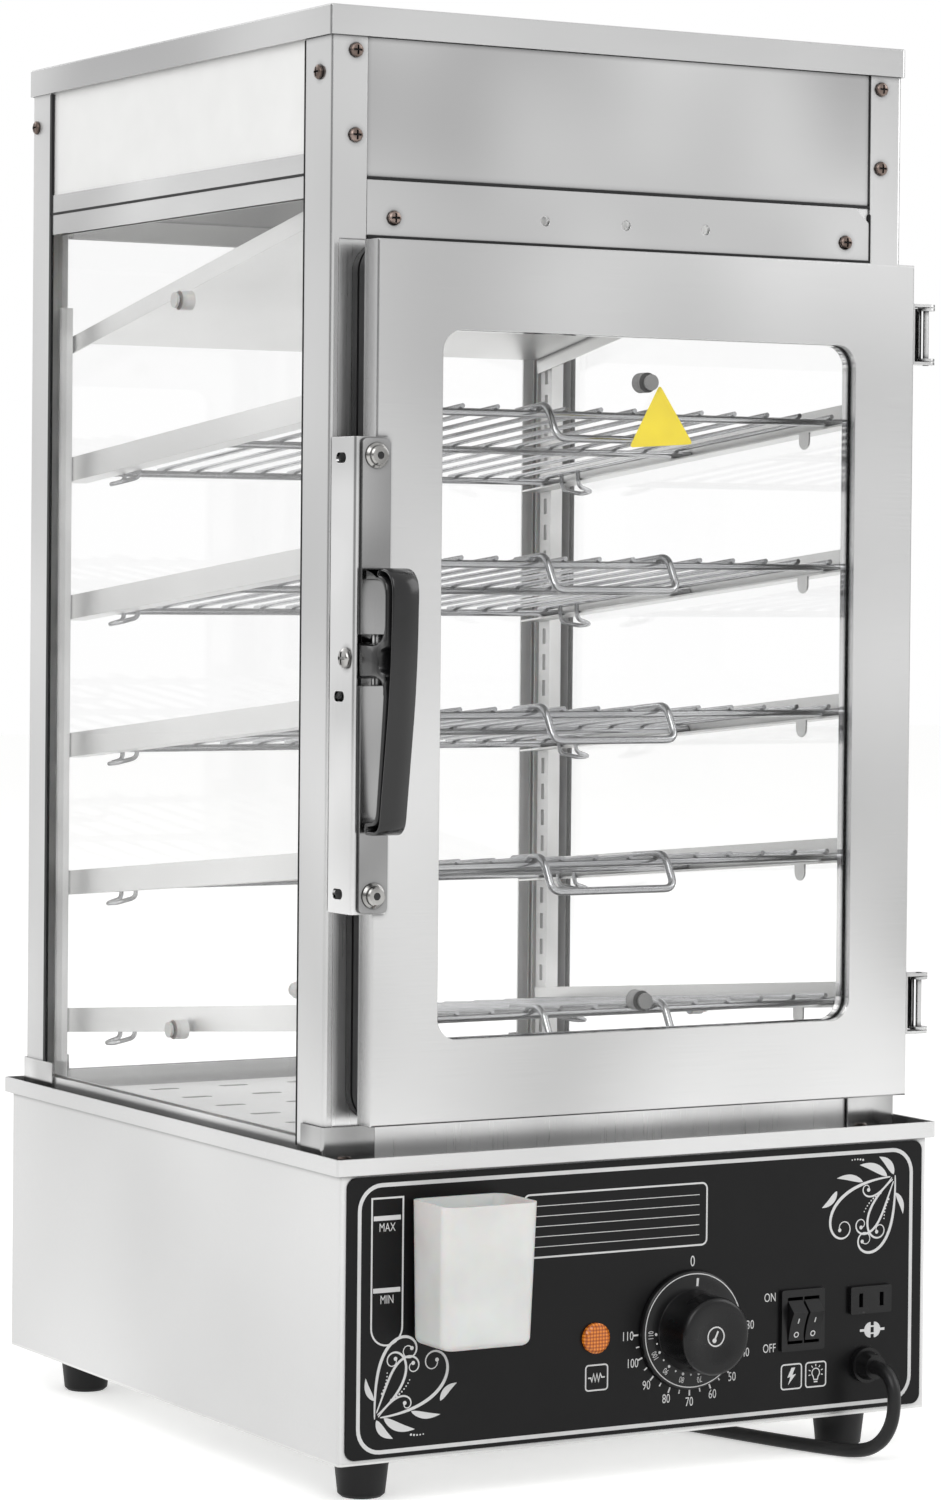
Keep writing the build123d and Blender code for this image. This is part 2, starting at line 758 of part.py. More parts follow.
with BuildPart() as glass_panes:
    with BuildSketch(side_plane(-seal_outer_x + seal_wall)):
        with Locations((side_pane_middle_y, seal_middle_z)):
            Rectangle(side_pane_width, pane_height)
    extrude(amount=glass_thickness)
    side_bush_holes(glass_thickness)
    mirror(about=Plane.YZ)
    with BuildSketch(front_plane(rear_seal_outer_y - seal_wall)):
        with Locations((0, seal_middle_z)):
            Rectangle(rear_pane_width, pane_height)
        with Locations((0, bush_upper_z), (0, bush_lower_z)):
            Circle(screw_shank_radius + seat_gap / 2, mode=Mode.SUBTRACT)
    extrude(amount=glass_thickness)
glass_panes.part.label = "glass_panes"
export_step(glass_panes.part, "parts/glass_panes.step")

# Rubber channels around the panes
with BuildPart() as glass_seals:
    with BuildSketch(side_plane(-seal_outer_x)):
        with Locations((side_pane_middle_y, seal_middle_z)):
            Rectangle(side_pane_width + 2 * seal_wall, seal_height)
            Rectangle(
                side_pane_width + 2 * (seal_wall - seal_cover),
                seal_height - 2 * seal_cover,
                mode=Mode.SUBTRACT,
            )
    extrude(amount=seal_depth)
    with BuildSketch(side_plane(-seal_outer_x + seal_wall)):
        with Locations((side_pane_middle_y, seal_middle_z)):
            Rectangle(side_pane_width, pane_height)
    extrude(amount=glass_thickness, mode=Mode.SUBTRACT)
    mirror(about=Plane.YZ)
    with BuildSketch(front_plane(rear_seal_outer_y)):
        with Locations((0, seal_middle_z)):
            Rectangle(2 * rear_seal_half_x, seal_height)
            Rectangle(2 * (rear_seal_half_x - seal_cover), seal_height - 2 * seal_cover, mode=Mode.SUBTRACT)
    extrude(amount=seal_depth)
    with BuildSketch(front_plane(rear_seal_outer_y - seal_wall)):
        with Locations((0, seal_middle_z)):
            Rectangle(rear_pane_width, pane_height)
    extrude(amount=glass_thickness, mode=Mode.SUBTRACT)
glass_seals.part.label = "glass_seals"
export_step(glass_seals.part, "parts/glass_seals.step")


def side_rail(bottom_z, top_z, web_z, inner_x):
    """Channel along the side wall, between the posts, with its web at one height."""
    outer_x = -post_side_x + seat_gap
    start_y = post_front_y + post_side_leg + seat_gap
    end_y = rear_standard_y - standard_width / 2 - run_gap
    for x in (outer_x, -inner_x):
        with BuildSketch(side_plane(x)) as outline:
            with Locations((start_y, bottom_z)):
                Rectangle(end_y - start_y, top_z - bottom_z, align=(Align.MIN, Align.MIN))
        extrude(outline.sketch, amount=rail_sheet)
    with BuildSketch(Plane.XY.offset(web_z)) as outline:
        with Locations((outer_x, start_y)):
            Rectangle(-inner_x + rail_sheet - outer_x, end_y - start_y, align=(Align.MIN, Align.MIN))
    extrude(outline.sketch, amount=rail_sheet)


def rear_rail(bottom_z, top_z, web_z):
    """Channel along the back wall, between the rear posts."""
    half = post_side_x - rear_post_leg - seat_gap
    outer_y = post_back_y - seat_gap
    inner_y = rear_seal_inner_y - run_gap
    for y in (outer_y, inner_y):
        with BuildSketch(front_plane(y)) as outline:
            with Locations((0, bottom_z)):
                Rectangle(2 * half, top_z - bottom_z, align=(Align.CENTER, Align.MIN))
        extrude(outline.sketch, amount=rail_sheet)
    with BuildSketch(Plane.XY.offset(web_z)) as outline:
        with Locations((0, inner_y - rail_sheet)):
            Rectangle(2 * half, outer_y - inner_y + rail_sheet, align=(Align.CENTER, Align.MIN))
    extrude(outline.sketch, amount=rail_sheet)


# Glass rails: channels at the foot and head of the panes, and under the opal headers
with BuildPart() as glass_rails:
    rail_foot_z = tray_floor_z + seat_gap
    rail_head_z = glass_rail_top_z - rail_sheet
    pane_rail_inner_x = seal_inner_x - run_gap
    opal_rail_inner_x = inner_side_x - run_gap - opal_thickness - run_gap
    side_rail(rail_foot_z, rail_foot_z + rail_height, rail_foot_z, pane_rail_inner_x)
    side_rail(glass_rail_top_z - rail_height, glass_rail_top_z, rail_head_z, pane_rail_inner_x)
    opal_rail_z = glass_rail_top_z + run_gap
    side_rail(opal_rail_z, opal_rail_z + rail_height - 1, opal_rail_z, opal_rail_inner_x)
    mirror(about=Plane.YZ)
    rear_rail(rail_foot_z, rail_foot_z + rail_height, rail_foot_z)
    rear_rail(glass_rail_top_z - rail_height, glass_rail_top_z, rail_head_z)
glass_rails.part.label = "glass_rails"
export_step(glass_rails.part, "parts/glass_rails.step")


def clamp_bush(outside, direction, pane_thickness):
    """Rubber bush inside a pane with its screw and outer cap, along a direction."""
    with BuildSketch(Plane(origin=outside, z_dir=direction)) as outline:
        Circle(bush_radius - 1)
    extrude(outline.sketch, amount=-1.4)
    with BuildSketch(Plane(origin=outside, z_dir=direction)) as outline:
        Circle(screw_shank_radius)
    extrude(outline.sketch, amount=pane_thickness)
    with BuildSketch(Plane(origin=outside, z_dir=direction).offset(pane_thickness)) as outline:
        Circle(bush_radius)
    extrude(outline.sketch, amount=bush_length)


# Clamp bushes: two at mid-width of each fixed pane
with BuildPart() as glass_bushes:
    for bush_z in (bush_upper_z, bush_lower_z):
        clamp_bush((-seal_outer_x + seal_wall, cabinet_middle_y, bush_z), (1, 0, 0), glass_thickness)
    mirror(about=Plane.YZ)
    for bush_z in (bush_upper_z, bush_lower_z):
        clamp_bush((0, rear_seal_outer_y - seal_wall, bush_z), (0, -1, 0), glass_thickness)
glass_bushes.part.label = "glass_bushes"
export_step(glass_bushes.part, "parts/glass_bushes.step")

# Ceiling baffle: slopes down to the back, so that drips run off away from the door
with BuildPart() as ceiling_baffle:
    baffle_start_y = jamb_back_y + run_gap + baffle_lip * sin(radians(baffle_slope))
    baffle_run = (rear_seal_inner_y - run_gap - baffle_start_y) / cos(radians(baffle_slope)) - 1
    baffle_plane = Plane(
        origin=(0, baffle_start_y, baffle_front_z),
        x_dir=(1, 0, 0),
        z_dir=(0, sin(radians(baffle_slope)), cos(radians(baffle_slope))),
    )
    with BuildSketch(baffle_plane):
        Rectangle(2 * baffle_half_width, baffle_run, align=(Align.CENTER, Align.MIN))
    extrude(amount=inner_sheet)
    with BuildSketch(baffle_plane):
        for edge_x in (-baffle_half_width + inner_sheet / 2, baffle_half_width - inner_sheet / 2):
            with Locations((edge_x, 0)):
                Rectangle(inner_sheet, baffle_run, align=(Align.CENTER, Align.MIN))
    extrude(amount=-baffle_lip)
ceiling_baffle.part.label = "ceiling_baffle"
export_step(ceiling_baffle.part, "parts/ceiling_baffle.step")

# Slotted standards in the four corners
slot_count = int((standard_top_z - slot_height - post_bottom_z) / slot_pitch)
lowest_slot_z = first_hook_z - slot_pitch * int((first_hook_z - post_bottom_z - slot_height) / slot_pitch)
with BuildPart() as shelf_standards:
    for standard_y in (front_standard_y, rear_standard_y):
        with BuildSketch(Plane.XY.offset(post_bottom_z)):
            with Locations((-standard_face_x, standard_y)):
                Rectangle(standard_depth, standard_width, align=(Align.MAX, Align.CENTER))
            with Locations((-standard_face_x - inner_sheet, standard_y)):
                Rectangle(
                    standard_depth,
                    standard_width - 2 * inner_sheet,
                    align=(Align.MAX, Align.CENTER),
                    mode=Mode.SUBTRACT,
                )
        extrude(amount=standard_top_z - post_bottom_z)
        with BuildSketch(side_plane(-standard_face_x)):
            for index in range(slot_count):
                with Locations((standard_y, lowest_slot_z + index * slot_pitch)):
                    Rectangle(slot_width, slot_height)
        extrude(amount=-inner_sheet, mode=Mode.SUBTRACT)
    mirror(about=Plane.YZ)
shelf_standards.part.label = "shelf_standards"
export_step(shelf_standards.part, "parts/shelf_standards.step")


def shelf_frame(level):
    """Tilted plane of one shelf: origin at the front hook's height, y towards the back."""
    hook_z = first_hook_z + level * slots_per_level * slot_pitch
    return Plane(
        origin=(0, front_standard_y, hook_z),
        x_dir=(1, 0, 0),
        z_dir=(0, sin(bracket_angle), cos(bracket_angle)),
    )


bracket_overhang = 4.5
bracket_length = (rear_standard_y - front_standard_y) / cos(bracket_angle) + 2 * bracket_overhang
ledge_low = -bracket_height / 2
hook_depth = 2.6


def left_bracket(level):
    """Angle that carries one shelf's left edge, hooked into two standards."""
    frame = shelf_frame(level)
    with BuildSketch(frame.offset(ledge_low)) as outline:
        with Locations((-bracket_web_x, -bracket_overhang)):
            Rectangle(inner_sheet, bracket_length, align=(Align.MIN, Align.MIN))
    extrude(outline.sketch, amount=bracket_height)
    with BuildSketch(frame.offset(ledge_low)) as outline:
        with Locations((-bracket_web_x, -bracket_overhang)):
            Rectangle(bracket_ledge, bracket_length, align=(Align.MIN, Align.MIN))
    extrude(outline.sketch, amount=inner_sheet)
    ledge_edge_x = -bracket_web_x + bracket_ledge
    tab_y = front_standard_y + 32
    tab_z = frame.origin.Z - 32 * sin(bracket_angle) + ledge_low
    with BuildSketch(side_plane(ledge_edge_x - inner_sheet)) as outline:
        with Locations((tab_y, tab_z + 0.5)):
            Rectangle(stop_tab_width, stop_tab_drop - stop_tab_width / 2, align=(Align.CENTER, Align.MAX))
        with Locations((tab_y, tab_z + 0.5 - stop_tab_drop + stop_tab_width / 2)):
            Circle(stop_tab_width / 2)
    extrude(outline.sketch, amount=inner_sheet)
    for hook_y, drop in ((front_standard_y, 0), (rear_standard_y, slots_of_fall * slot_pitch)):
        hook_z = frame.origin.Z - drop
        with BuildSketch(front_plane(hook_y + slot_width / 2 - run_gap)) as outline:
            with Locations((-bracket_web_x, hook_z)):
                Rectangle(hook_depth + seat_gap, 5, align=(Align.MAX, Align.CENTER))
            with Locations((-standard_face_x - inner_sheet - seat_gap, hook_z)):
                Rectangle(hook_depth - inner_sheet - seat_gap, 8, align=(Align.MAX, Align.MAX))
        extrude(outline.sketch, amount=slot_width - 2 * run_gap)


# Shelf brackets: one angle each side of each shelf
with BuildPart() as shelf_brackets:
    for shelf_level in range(shelf_count):
        left_bracket(shelf_level)
    mirror(about=Plane.YZ)
shelf_brackets.part.label = "shelf_brackets"
export_step(shelf_brackets.part, "parts/shelf_brackets.step")

# Wire shelves: cross rods on the brackets' ledges, wires on the rods, a pull loop in front
rod_height = ledge_low + inner_sheet + run_gap + rod_radius
wire_height = rod_height + rod_radius + wire_radius - weld_sink
rod_half_length = bracket_web_x - inner_sheet - 2 * run_gap
wire_sides = 8
for shelf_level in range(shelf_count):
    frame = shelf_frame(shelf_level)
    cross = Plane(
        origin=frame.from_local_coords((-rod_half_length, 0, 0)), x_dir=frame.y_dir, z_dir=(1, 0, 0)
    )
    along = Plane(
        origin=frame.from_local_coords((0, shelf_front_inset - 15, 0)), x_dir=(-1, 0, 0), z_dir=frame.y_dir
    )
    with BuildPart() as shelf:
        with BuildSketch(cross):
            for rod_y in (0, shelf_length / 2, shelf_length - 10):
                with Locations((shelf_front_inset - 13 + rod_y, rod_height)):
                    RegularPolygon(rod_radius, 10)
        extrude(amount=2 * rod_half_length)
        with BuildSketch(along):
            with Locations((0, wire_height)):
                with GridLocations(wire_pitch, 1, wire_count, 1):
                    RegularPolygon(wire_radius, wire_sides)
        extrude(amount=shelf_length)
        front_rod_y = shelf_front_inset - 13
        pull_height = rod_height + rod_radius + rod_radius - weld_sink
        half = pull_width / 2
        loop = [
            (-half, front_rod_y + 20, pull_height),
            (-half, front_rod_y - pull_reach * 0.55, pull_height),
            (-half, front_rod_y - pull_reach, rod_height - pull_drop),
            (half, front_rod_y - pull_reach, rod_height - pull_drop),
            (half, front_rod_y - pull_reach * 0.55, pull_height),
            (half, front_rod_y + 20, pull_height),
        ]
        with BuildLine() as pull_path:
            FilletPolyline(*[frame.from_local_coords(point) for point in loop], radius=pull_bend)
        with BuildSketch(Plane(origin=pull_path.line @ 0, z_dir=pull_path.line % 0)):
            RegularPolygon(rod_radius, wire_sides)
        sweep()
    shelf.part.label = f"shelf_{shelf_level + 1}"
    export_step(shelf.part, f"parts/shelf_{shelf_level + 1}.step")


def window_outline(margin=0.0, mode=Mode.ADD):
    """Rounded window of the door, in the front plane."""
    with Locations((door_centre_x, window_middle_z)):
        RectangleRounded(
            window_width + 2 * margin, window_height + 2 * margin, window_corner + max(margin, 0), mode=mode
        )


# Door front: a folded pan with a turned-in window edge
with BuildPart() as door_front:
    with BuildSketch(front_plane(door_face_y)):
        with Locations((door_centre_x, door_middle_z)):
            Rectangle(door_width, door_height)
    extrude(amount=-door_pan_depth)
    chamfer(door_front.faces().sort_by(Axis.Y)[0].edges(), 0.8)
    with BuildSketch(front_plane(door_face_y + case_sheet)):
        with Locations((door_centre_x, door_middle_z)):
            Rectangle(door_width - 2 * case_sheet, door_height - 2 * case_sheet)
    extrude(amount=-door_pan_depth, mode=Mode.SUBTRACT)
    with BuildSketch(front_plane(door_face_y)):
        window_outline(margin=case_sheet)
    extrude(amount=-(case_sheet + window_return))
    with BuildSketch(front_plane(door_face_y)):
        window_outline()
    extrude(amount=-door_pan_depth, mode=Mode.SUBTRACT)
door_front.part.label = "door_front"
export_step(door_front.part, "parts/door_front.step")

# Door back: inner frame that closes the pan and holds the glass
with BuildPart() as door_back:
    back_width = door_width - 2 * (case_sheet + seat_gap)
    back_height = door_height - 2 * (case_sheet + seat_gap)
    with BuildSketch(front_plane(door_back_y - case_sheet)):
        with Locations((door_centre_x, door_middle_z)):
            Rectangle(back_width, back_height)
    extrude(amount=-case_sheet)
    with BuildSketch(front_plane(door_glass_back_y + seat_gap)):
        window_outline(margin=case_sheet)
    extrude(amount=-(door_back_y - door_glass_back_y - seat_gap))
    with BuildSketch(front_plane(door_glass_back_y)):
        window_outline()
    extrude(amount=-door_pan_depth, mode=Mode.SUBTRACT)
door_back.part.label = "door_back"
export_step(door_back.part, "parts/door_back.step")

# Door glass, lapped behind the window's edge
door_bush_seats = [
    (door_centre_x, door_glass_front_y, z) for z in (window_top_z - 22, window_bottom_z + 14)
]
with BuildPart() as door_glass:
    with BuildSketch(front_plane(door_glass_front_y)):
        with Locations((door_centre_x, window_middle_z)):
            Rectangle(window_width + 2 * glass_lap, window_height + 2 * glass_lap)
        for bush_x, _, bush_z in door_bush_seats:
            with Locations((bush_x, bush_z)):
                Circle(screw_shank_radius + seat_gap / 2, mode=Mode.SUBTRACT)
    extrude(amount=-glass_thickness)
door_glass.part.label = "door_glass"
export_step(door_glass.part, "parts/door_glass.step")

with BuildPart() as door_bushes:
    for seat in door_bush_seats:
        clamp_bush(seat, (0, 1, 0), glass_thickness)
door_bushes.part.label = "door_bushes"
export_step(door_bushes.part, "parts/door_bushes.step")

# Door gasket: a rubber ring with two ridges
with BuildPart() as door_gasket:
    gasket_depth = gasket_back_y - door_back_y
    with BuildSketch(front_plane(door_back_y)):
        with Locations((door_centre_x, door_middle_z)):
            RectangleRounded(door_width, door_height, gasket_corner)
            RectangleRounded(
                door_width - 2 * gasket_width,
                door_height - 2 * gasket_width,
                gasket_corner - gasket_width / 2,
                mode=Mode.SUBTRACT,
            )
    extrude(amount=-gasket_depth)
    with BuildSketch(front_plane(door_back_y + gasket_depth / 2 - gasket_groove / 2)):
        with Locations((door_centre_x, door_middle_z)):
            RectangleRounded(door_width, door_height, gasket_corner)
            RectangleRounded(
                door_width - 2 * gasket_groove,
                door_height - 2 * gasket_groove,
                gasket_corner - gasket_groove,
                mode=Mode.SUBTRACT,
            )
    extrude(amount=-gasket_groove, mode=Mode.SUBTRACT)
door_gasket.part.label = "door_gasket"
export_step(door_gasket.part, "parts/door_gasket.step")


def hinge_lug(y_low, y_high, x_low, z_low):
    """Flat lug around the hinge pin, square towards its leaf and round at its end."""
    with BuildSketch(Plane.XY.offset(z_low)) as outline:
        with Locations((x_low, y_low)):
            Rectangle(pin_x - x_low, y_high - y_low, align=(Align.MIN, Align.MIN))
        with Locations((pin_x, pin_y)):
            Circle(hinge_lug_reach)
    extrude(outline.sketch, amount=hinge_sheet)


# Door hinge leaves: a plate on the door's edge with a lug above and one below
with BuildPart() as door_hinges:
    for hinge_z in (upper_hinge_z, lower_hinge_z):
        low = hinge_z - hinge_height / 2
        with BuildSketch(side_plane(door_right_x)):
            with Locations((pin_y, hinge_z)):
                Rectangle(2 * hinge_lug_reach, hinge_height)
        extrude(amount=hinge_sheet)
        for lug_z in (low, low + hinge_height - hinge_sheet):
            hinge_lug(pin_y - hinge_lug_reach, pin_y + hinge_lug_reach, door_right_x, lug_z)
        bore((pin_x, pin_y, low), (0, 0, 1), hinge_pin_radius + shaft_gap, hinge_height)
door_hinges.part.label = "door_hinges"
export_step(door_hinges.part, "parts/door_hinges.step")

# Cabinet hinge leaves: a plate on the post's side, with lugs inside the door's and the pin
with BuildPart() as cabinet_hinges:
    for hinge_z in (upper_hinge_z, lower_hinge_z):
        low = hinge_z - hinge_height / 2 + hinge_sheet + run_gap
        high = hinge_z + hinge_height / 2 - hinge_sheet - run_gap
        leaf_front_y = pin_y + hinge_pin_radius + run_gap
        with BuildSketch(side_plane(post_side_x)):
            with Locations((leaf_front_y, low)):
                Rectangle(hinge_leaf_length, high - low, align=(Align.MIN, Align.MIN))
        extrude(amount=hinge_sheet)
        for lug_z in (low, high - hinge_sheet):
            hinge_lug(pin_y, pin_y + hinge_leaf_length * 0.6, post_side_x, lug_z)
        with BuildSketch(Plane.XY.offset(hinge_z - hinge_height / 2 - run_gap)):
            with Locations((pin_x, pin_y)):
                Circle(hinge_pin_radius)
        extrude(amount=hinge_height + 2 * run_gap)
cabinet_hinges.part.label = "cabinet_hinges"
export_step(cabinet_hinges.part, "parts/cabinet_hinges.step")

# Latch channel: a folded angle on the door's left edge
channel_outer_x = -post_side_x
channel_face_y = door_face_y - channel_sheet
channel_back_y = channel_face_y + channel_depth
channel_height = channel_top_z - channel_bottom_z
channel_inner_x = channel_outer_x + channel_sheet
ear_x = channel_inner_x + 9.6
latch_plate_left_x = channel_outer_x + channel_bend + 0.8
with BuildPart() as latch_channel:
    with BuildSketch(Plane.XY.offset(channel_bottom_z)):
        with BuildLine():
            Polyline(
                (channel_outer_x, channel_face_y),
                (channel_outer_x + channel_flange, channel_face_y),
                (channel_outer_x + channel_flange, door_face_y),
                (channel_inner_x, door_face_y),
                (channel_inner_x, channel_back_y),
                (channel_outer_x, channel_back_y),
                close=True,
            )
        make_face()
        fillet(vertices().sort_by_distance((channel_outer_x, channel_face_y, 0))[0], channel_bend)
    extrude(amount=channel_height)
    with BuildSketch(front_plane(channel_face_y)):
        with Locations((channel_outer_x + channel_bend, latch_window_bottom_z)):
            Rectangle(
                channel_flange - channel_bend - 2.5,
                latch_window_top_z - latch_window_bottom_z,
                align=(Align.MIN, Align.MIN),
            )
    extrude(amount=-channel_sheet, mode=Mode.SUBTRACT)
    slot_y = channel_back_y - 9.5
    with BuildSketch(side_plane(channel_outer_x)):
        for slot_z in (channel_top_z - 10, pivot_z - 18.4, channel_bottom_z + 9.2):
            with Locations((slot_y, slot_z)):
                SlotOverall(channel_slot_length, channel_slot_width)
        with Locations((pivot_y, pivot_z)):
            Circle(pivot_radius + shaft_gap)
    extrude(amount=channel_sheet, mode=Mode.SUBTRACT)
    with BuildSketch(side_plane(ear_x)):
        with Locations((door_face_y, pivot_z)):
            Rectangle(pivot_y - door_face_y + 7, 15, align=(Align.MIN, Align.CENTER))
        with Locations((pivot_y, pivot_z)):
            Circle(pivot_radius + shaft_gap, mode=Mode.SUBTRACT)
    extrude(amount=ear_thickness)
    with BuildSketch(front_plane(door_face_y)):
        with Locations((channel_inner_x, latch_window_top_z)):
            Rectangle(ear_x + ear_thickness - channel_inner_x, 4, align=(Align.MIN, Align.MIN))
        with Locations((channel_inner_x, latch_window_bottom_z)):
            Rectangle(ear_x + ear_thickness - channel_inner_x, 4, align=(Align.MIN, Align.MAX))
        with Locations((ear_x, (latch_window_bottom_z + latch_window_top_z) / 2)):
            Rectangle(
                ear_thickness,
                latch_window_top_z - latch_window_bottom_z + 4,
                align=(Align.MIN, Align.CENTER),
            )
    extrude(amount=-ear_thickness)
latch_channel.part.label = "latch_channel"
export_step(latch_channel.part, "parts/latch_channel.step")

# Latch plate on the channel's front, open round the lever's neck
plate_right_x = channel_outer_x + channel_flange
plate_middle_x = (latch_plate_left_x + plate_right_x) / 2
screw_heights = (channel_top_z - socket_screw_inset, channel_bottom_z + socket_screw_inset)
with BuildPart() as latch_plate:
    with BuildSketch(front_plane(channel_face_y)):
        with Locations((plate_middle_x, (channel_bottom_z + channel_top_z) / 2)):
            RectangleRounded(plate_right_x - latch_plate_left_x, channel_height - 1.5, 2.5)
        with Locations((latch_plate_left_x, latch_window_bottom_z)):
            Rectangle(
                plate_right_x - latch_plate_left_x - 2.5,
                latch_window_top_z - latch_window_bottom_z,
                align=(Align.MIN, Align.MIN),
                mode=Mode.SUBTRACT,
            )
    extrude(amount=latch_plate_thickness)
latch_plate.part.label = "latch_plate"
export_step(latch_plate.part, "parts/latch_plate.step")

# Latch fasteners: two socket screws on cup washers, and the lever's pivot screw
latch_face_y = channel_face_y - latch_plate_thickness
with BuildPart() as latch_screws:
    for screw_z in screw_heights:
        with BuildSketch(front_plane(latch_face_y)):
            with Locations((plate_middle_x, screw_z)):
                Circle(socket_screw_radius + 1.4)
        extrude(amount=1.8)
        chamfer(edges(Select.LAST).group_by(Axis.Y)[0], 1.2)
        with BuildSketch(front_plane(latch_face_y - 1.8)):
            with Locations((plate_middle_x, screw_z)):
                Circle(socket_screw_radius)
        extrude(amount=2.2)
        chamfer(edges(Select.LAST).group_by(Axis.Y)[0], 0.7)
        with BuildSketch(front_plane(latch_face_y - 4.0)):
            with Locations((plate_middle_x, screw_z)):
                RegularPolygon(1.9, 6)
        extrude(amount=-2.0, mode=Mode.SUBTRACT)
    with BuildSketch(side_plane(channel_outer_x)):
        with Locations((pivot_y, pivot_z)):
            Circle(4.6)
    extrude(amount=-2.6)
    chamfer(edges(Select.LAST).group_by(Axis.X)[0], 1.3)
    bore(
        (channel_outer_x, pivot_y, pivot_z),
        (1, 0, 0),
        pivot_radius,
        ear_x + ear_thickness - channel_outer_x,
        mode=Mode.ADD,
    )
latch_screws.part.label = "latch_screws"
export_step(latch_screws.part, "parts/latch_screws.step")

# Latch lever: a hollow moulded bow with a neck through the plate and a nose for the keeper
lever_tip_y = latch_face_y - 4.7
lever_top_z = 450.0
lever_foot_z = 323.5
lever_tip_thickness = 5.7
bow_wall = 9.0
bow_front_y = latch_face_y - 32.5
bow_foot_y = latch_face_y - 20.5
neck_top_z = pivot_z + 7.0
neck_bottom_z = pivot_z - 9.5
neck_right_x = channel_outer_x + channel_flange - 4.5
pocket_rim = 2.4
pocket_depth = lever_width - 3.5
hub_x = channel_inner_x + 2.2
nose_top_z = pivot_z + 1.8
roller_z = nose_top_z + run_gap + roller_radius
bow_inner_y = bow_front_y + bow_wall
neck_back_y = door_face_y - neck_relief
lever_outline = [
    ((lever_tip_y, lever_top_z), 0),
    ((bow_front_y, lever_top_z), 14),
    ((bow_front_y + 1.2, pivot_z - 9), 60),
    ((bow_foot_y, lever_foot_z), 8),
    ((lever_tip_y, lever_foot_z), 0),
    ((lever_tip_y, lever_foot_z + lever_tip_thickness), 0),
    ((bow_foot_y + 4.8, lever_foot_z + lever_tip_thickness + 1), 5),
    ((bow_inner_y + 1.6, pivot_z - 28), 40),
    ((bow_inner_y, neck_bottom_z), 3.5),
    ((neck_back_y, neck_bottom_z), 0),
    ((neck_back_y, neck_top_z), 0),
    ((bow_inner_y, neck_top_z), 4),
    ((bow_inner_y, lever_top_z - lever_tip_thickness), 8),
    ((lever_tip_y, lever_top_z - lever_tip_thickness), 0),
]
with BuildPart() as latch_lever:
    with BuildSketch(side_plane(lever_left_x)):
        with BuildLine():
            FilletPolyline(
                *[point for point, _ in lever_outline],
                radius=[bend for _, bend in lever_outline],
                close=True,
            )
        make_face()
    extrude(amount=lever_width)
    with BuildSketch(side_plane(lever_left_x)):
        with BuildLine():
            Polyline(
                (bow_front_y + pocket_rim, lever_top_z - 16),
                (bow_front_y + pocket_rim + 1.2, pivot_z - 9),
                (bow_foot_y + pocket_rim, lever_foot_z + 10),
                (bow_foot_y + 5.5, lever_foot_z + 10),
                (bow_inner_y + 1.2 - pocket_rim, pivot_z - 28),
                (bow_inner_y - pocket_rim, lever_top_z - 16),
                close=True,
            )
        make_face()
    extrude(amount=pocket_depth, mode=Mode.SUBTRACT)
    with BuildSketch(side_plane(neck_right_x)):
        with Locations((latch_face_y - run_gap - 1.5, pivot_z)):
            Rectangle(20, 30, align=(Align.MIN, Align.CENTER))
    extrude(amount=lever_width, mode=Mode.SUBTRACT)
    with BuildSketch(side_plane(hub_x)):
        with Locations((pivot_y, pivot_z)):
            Circle(lever_hub_radius)
        with BuildLine():
            Polyline(
                (door_face_y - 2, pivot_z + 3.5),
                (pivot_y, nose_top_z),
                (pivot_y + nose_reach, nose_top_z),
                (pivot_y + nose_reach, nose_top_z - 4),
                (pivot_y, pivot_z - lever_hub_radius),
                (door_face_y - 2, pivot_z - lever_hub_radius),
                close=True,
            )
        make_face()
        with Locations((pivot_y, pivot_z)):
            Circle(pivot_radius + shaft_gap, mode=Mode.SUBTRACT)
    extrude(amount=nose_thickness)
latch_lever.part.label = "latch_lever"
export_step(latch_lever.part, "parts/latch_lever.step")

# Latch spring: a torsion spring on the pivot screw, between the lever and the ear
spring_wire_radius = 0.5
spring_turns = 2
spring_pitch = 1.3
spring_radius = pivot_radius + 2 * run_gap + spring_wire_radius
spring_x = hub_x + nose_thickness + run_gap + spring_wire_radius
with BuildPart() as latch_spring:
    with BuildLine() as spring_path:
        Helix(
            pitch=spring_pitch,
            height=spring_pitch * spring_turns,
            radius=spring_radius,
            center=(spring_x, pivot_y, pivot_z),
            direction=(1, 0, 0),
        )
    with BuildSketch(Plane(origin=spring_path.line @ 0, z_dir=spring_path.line % 0)):
        RegularPolygon(spring_wire_radius, 6)
    sweep()
latch_spring.part.label = "latch_spring"
export_step(latch_spring.part, "parts/latch_spring.step")

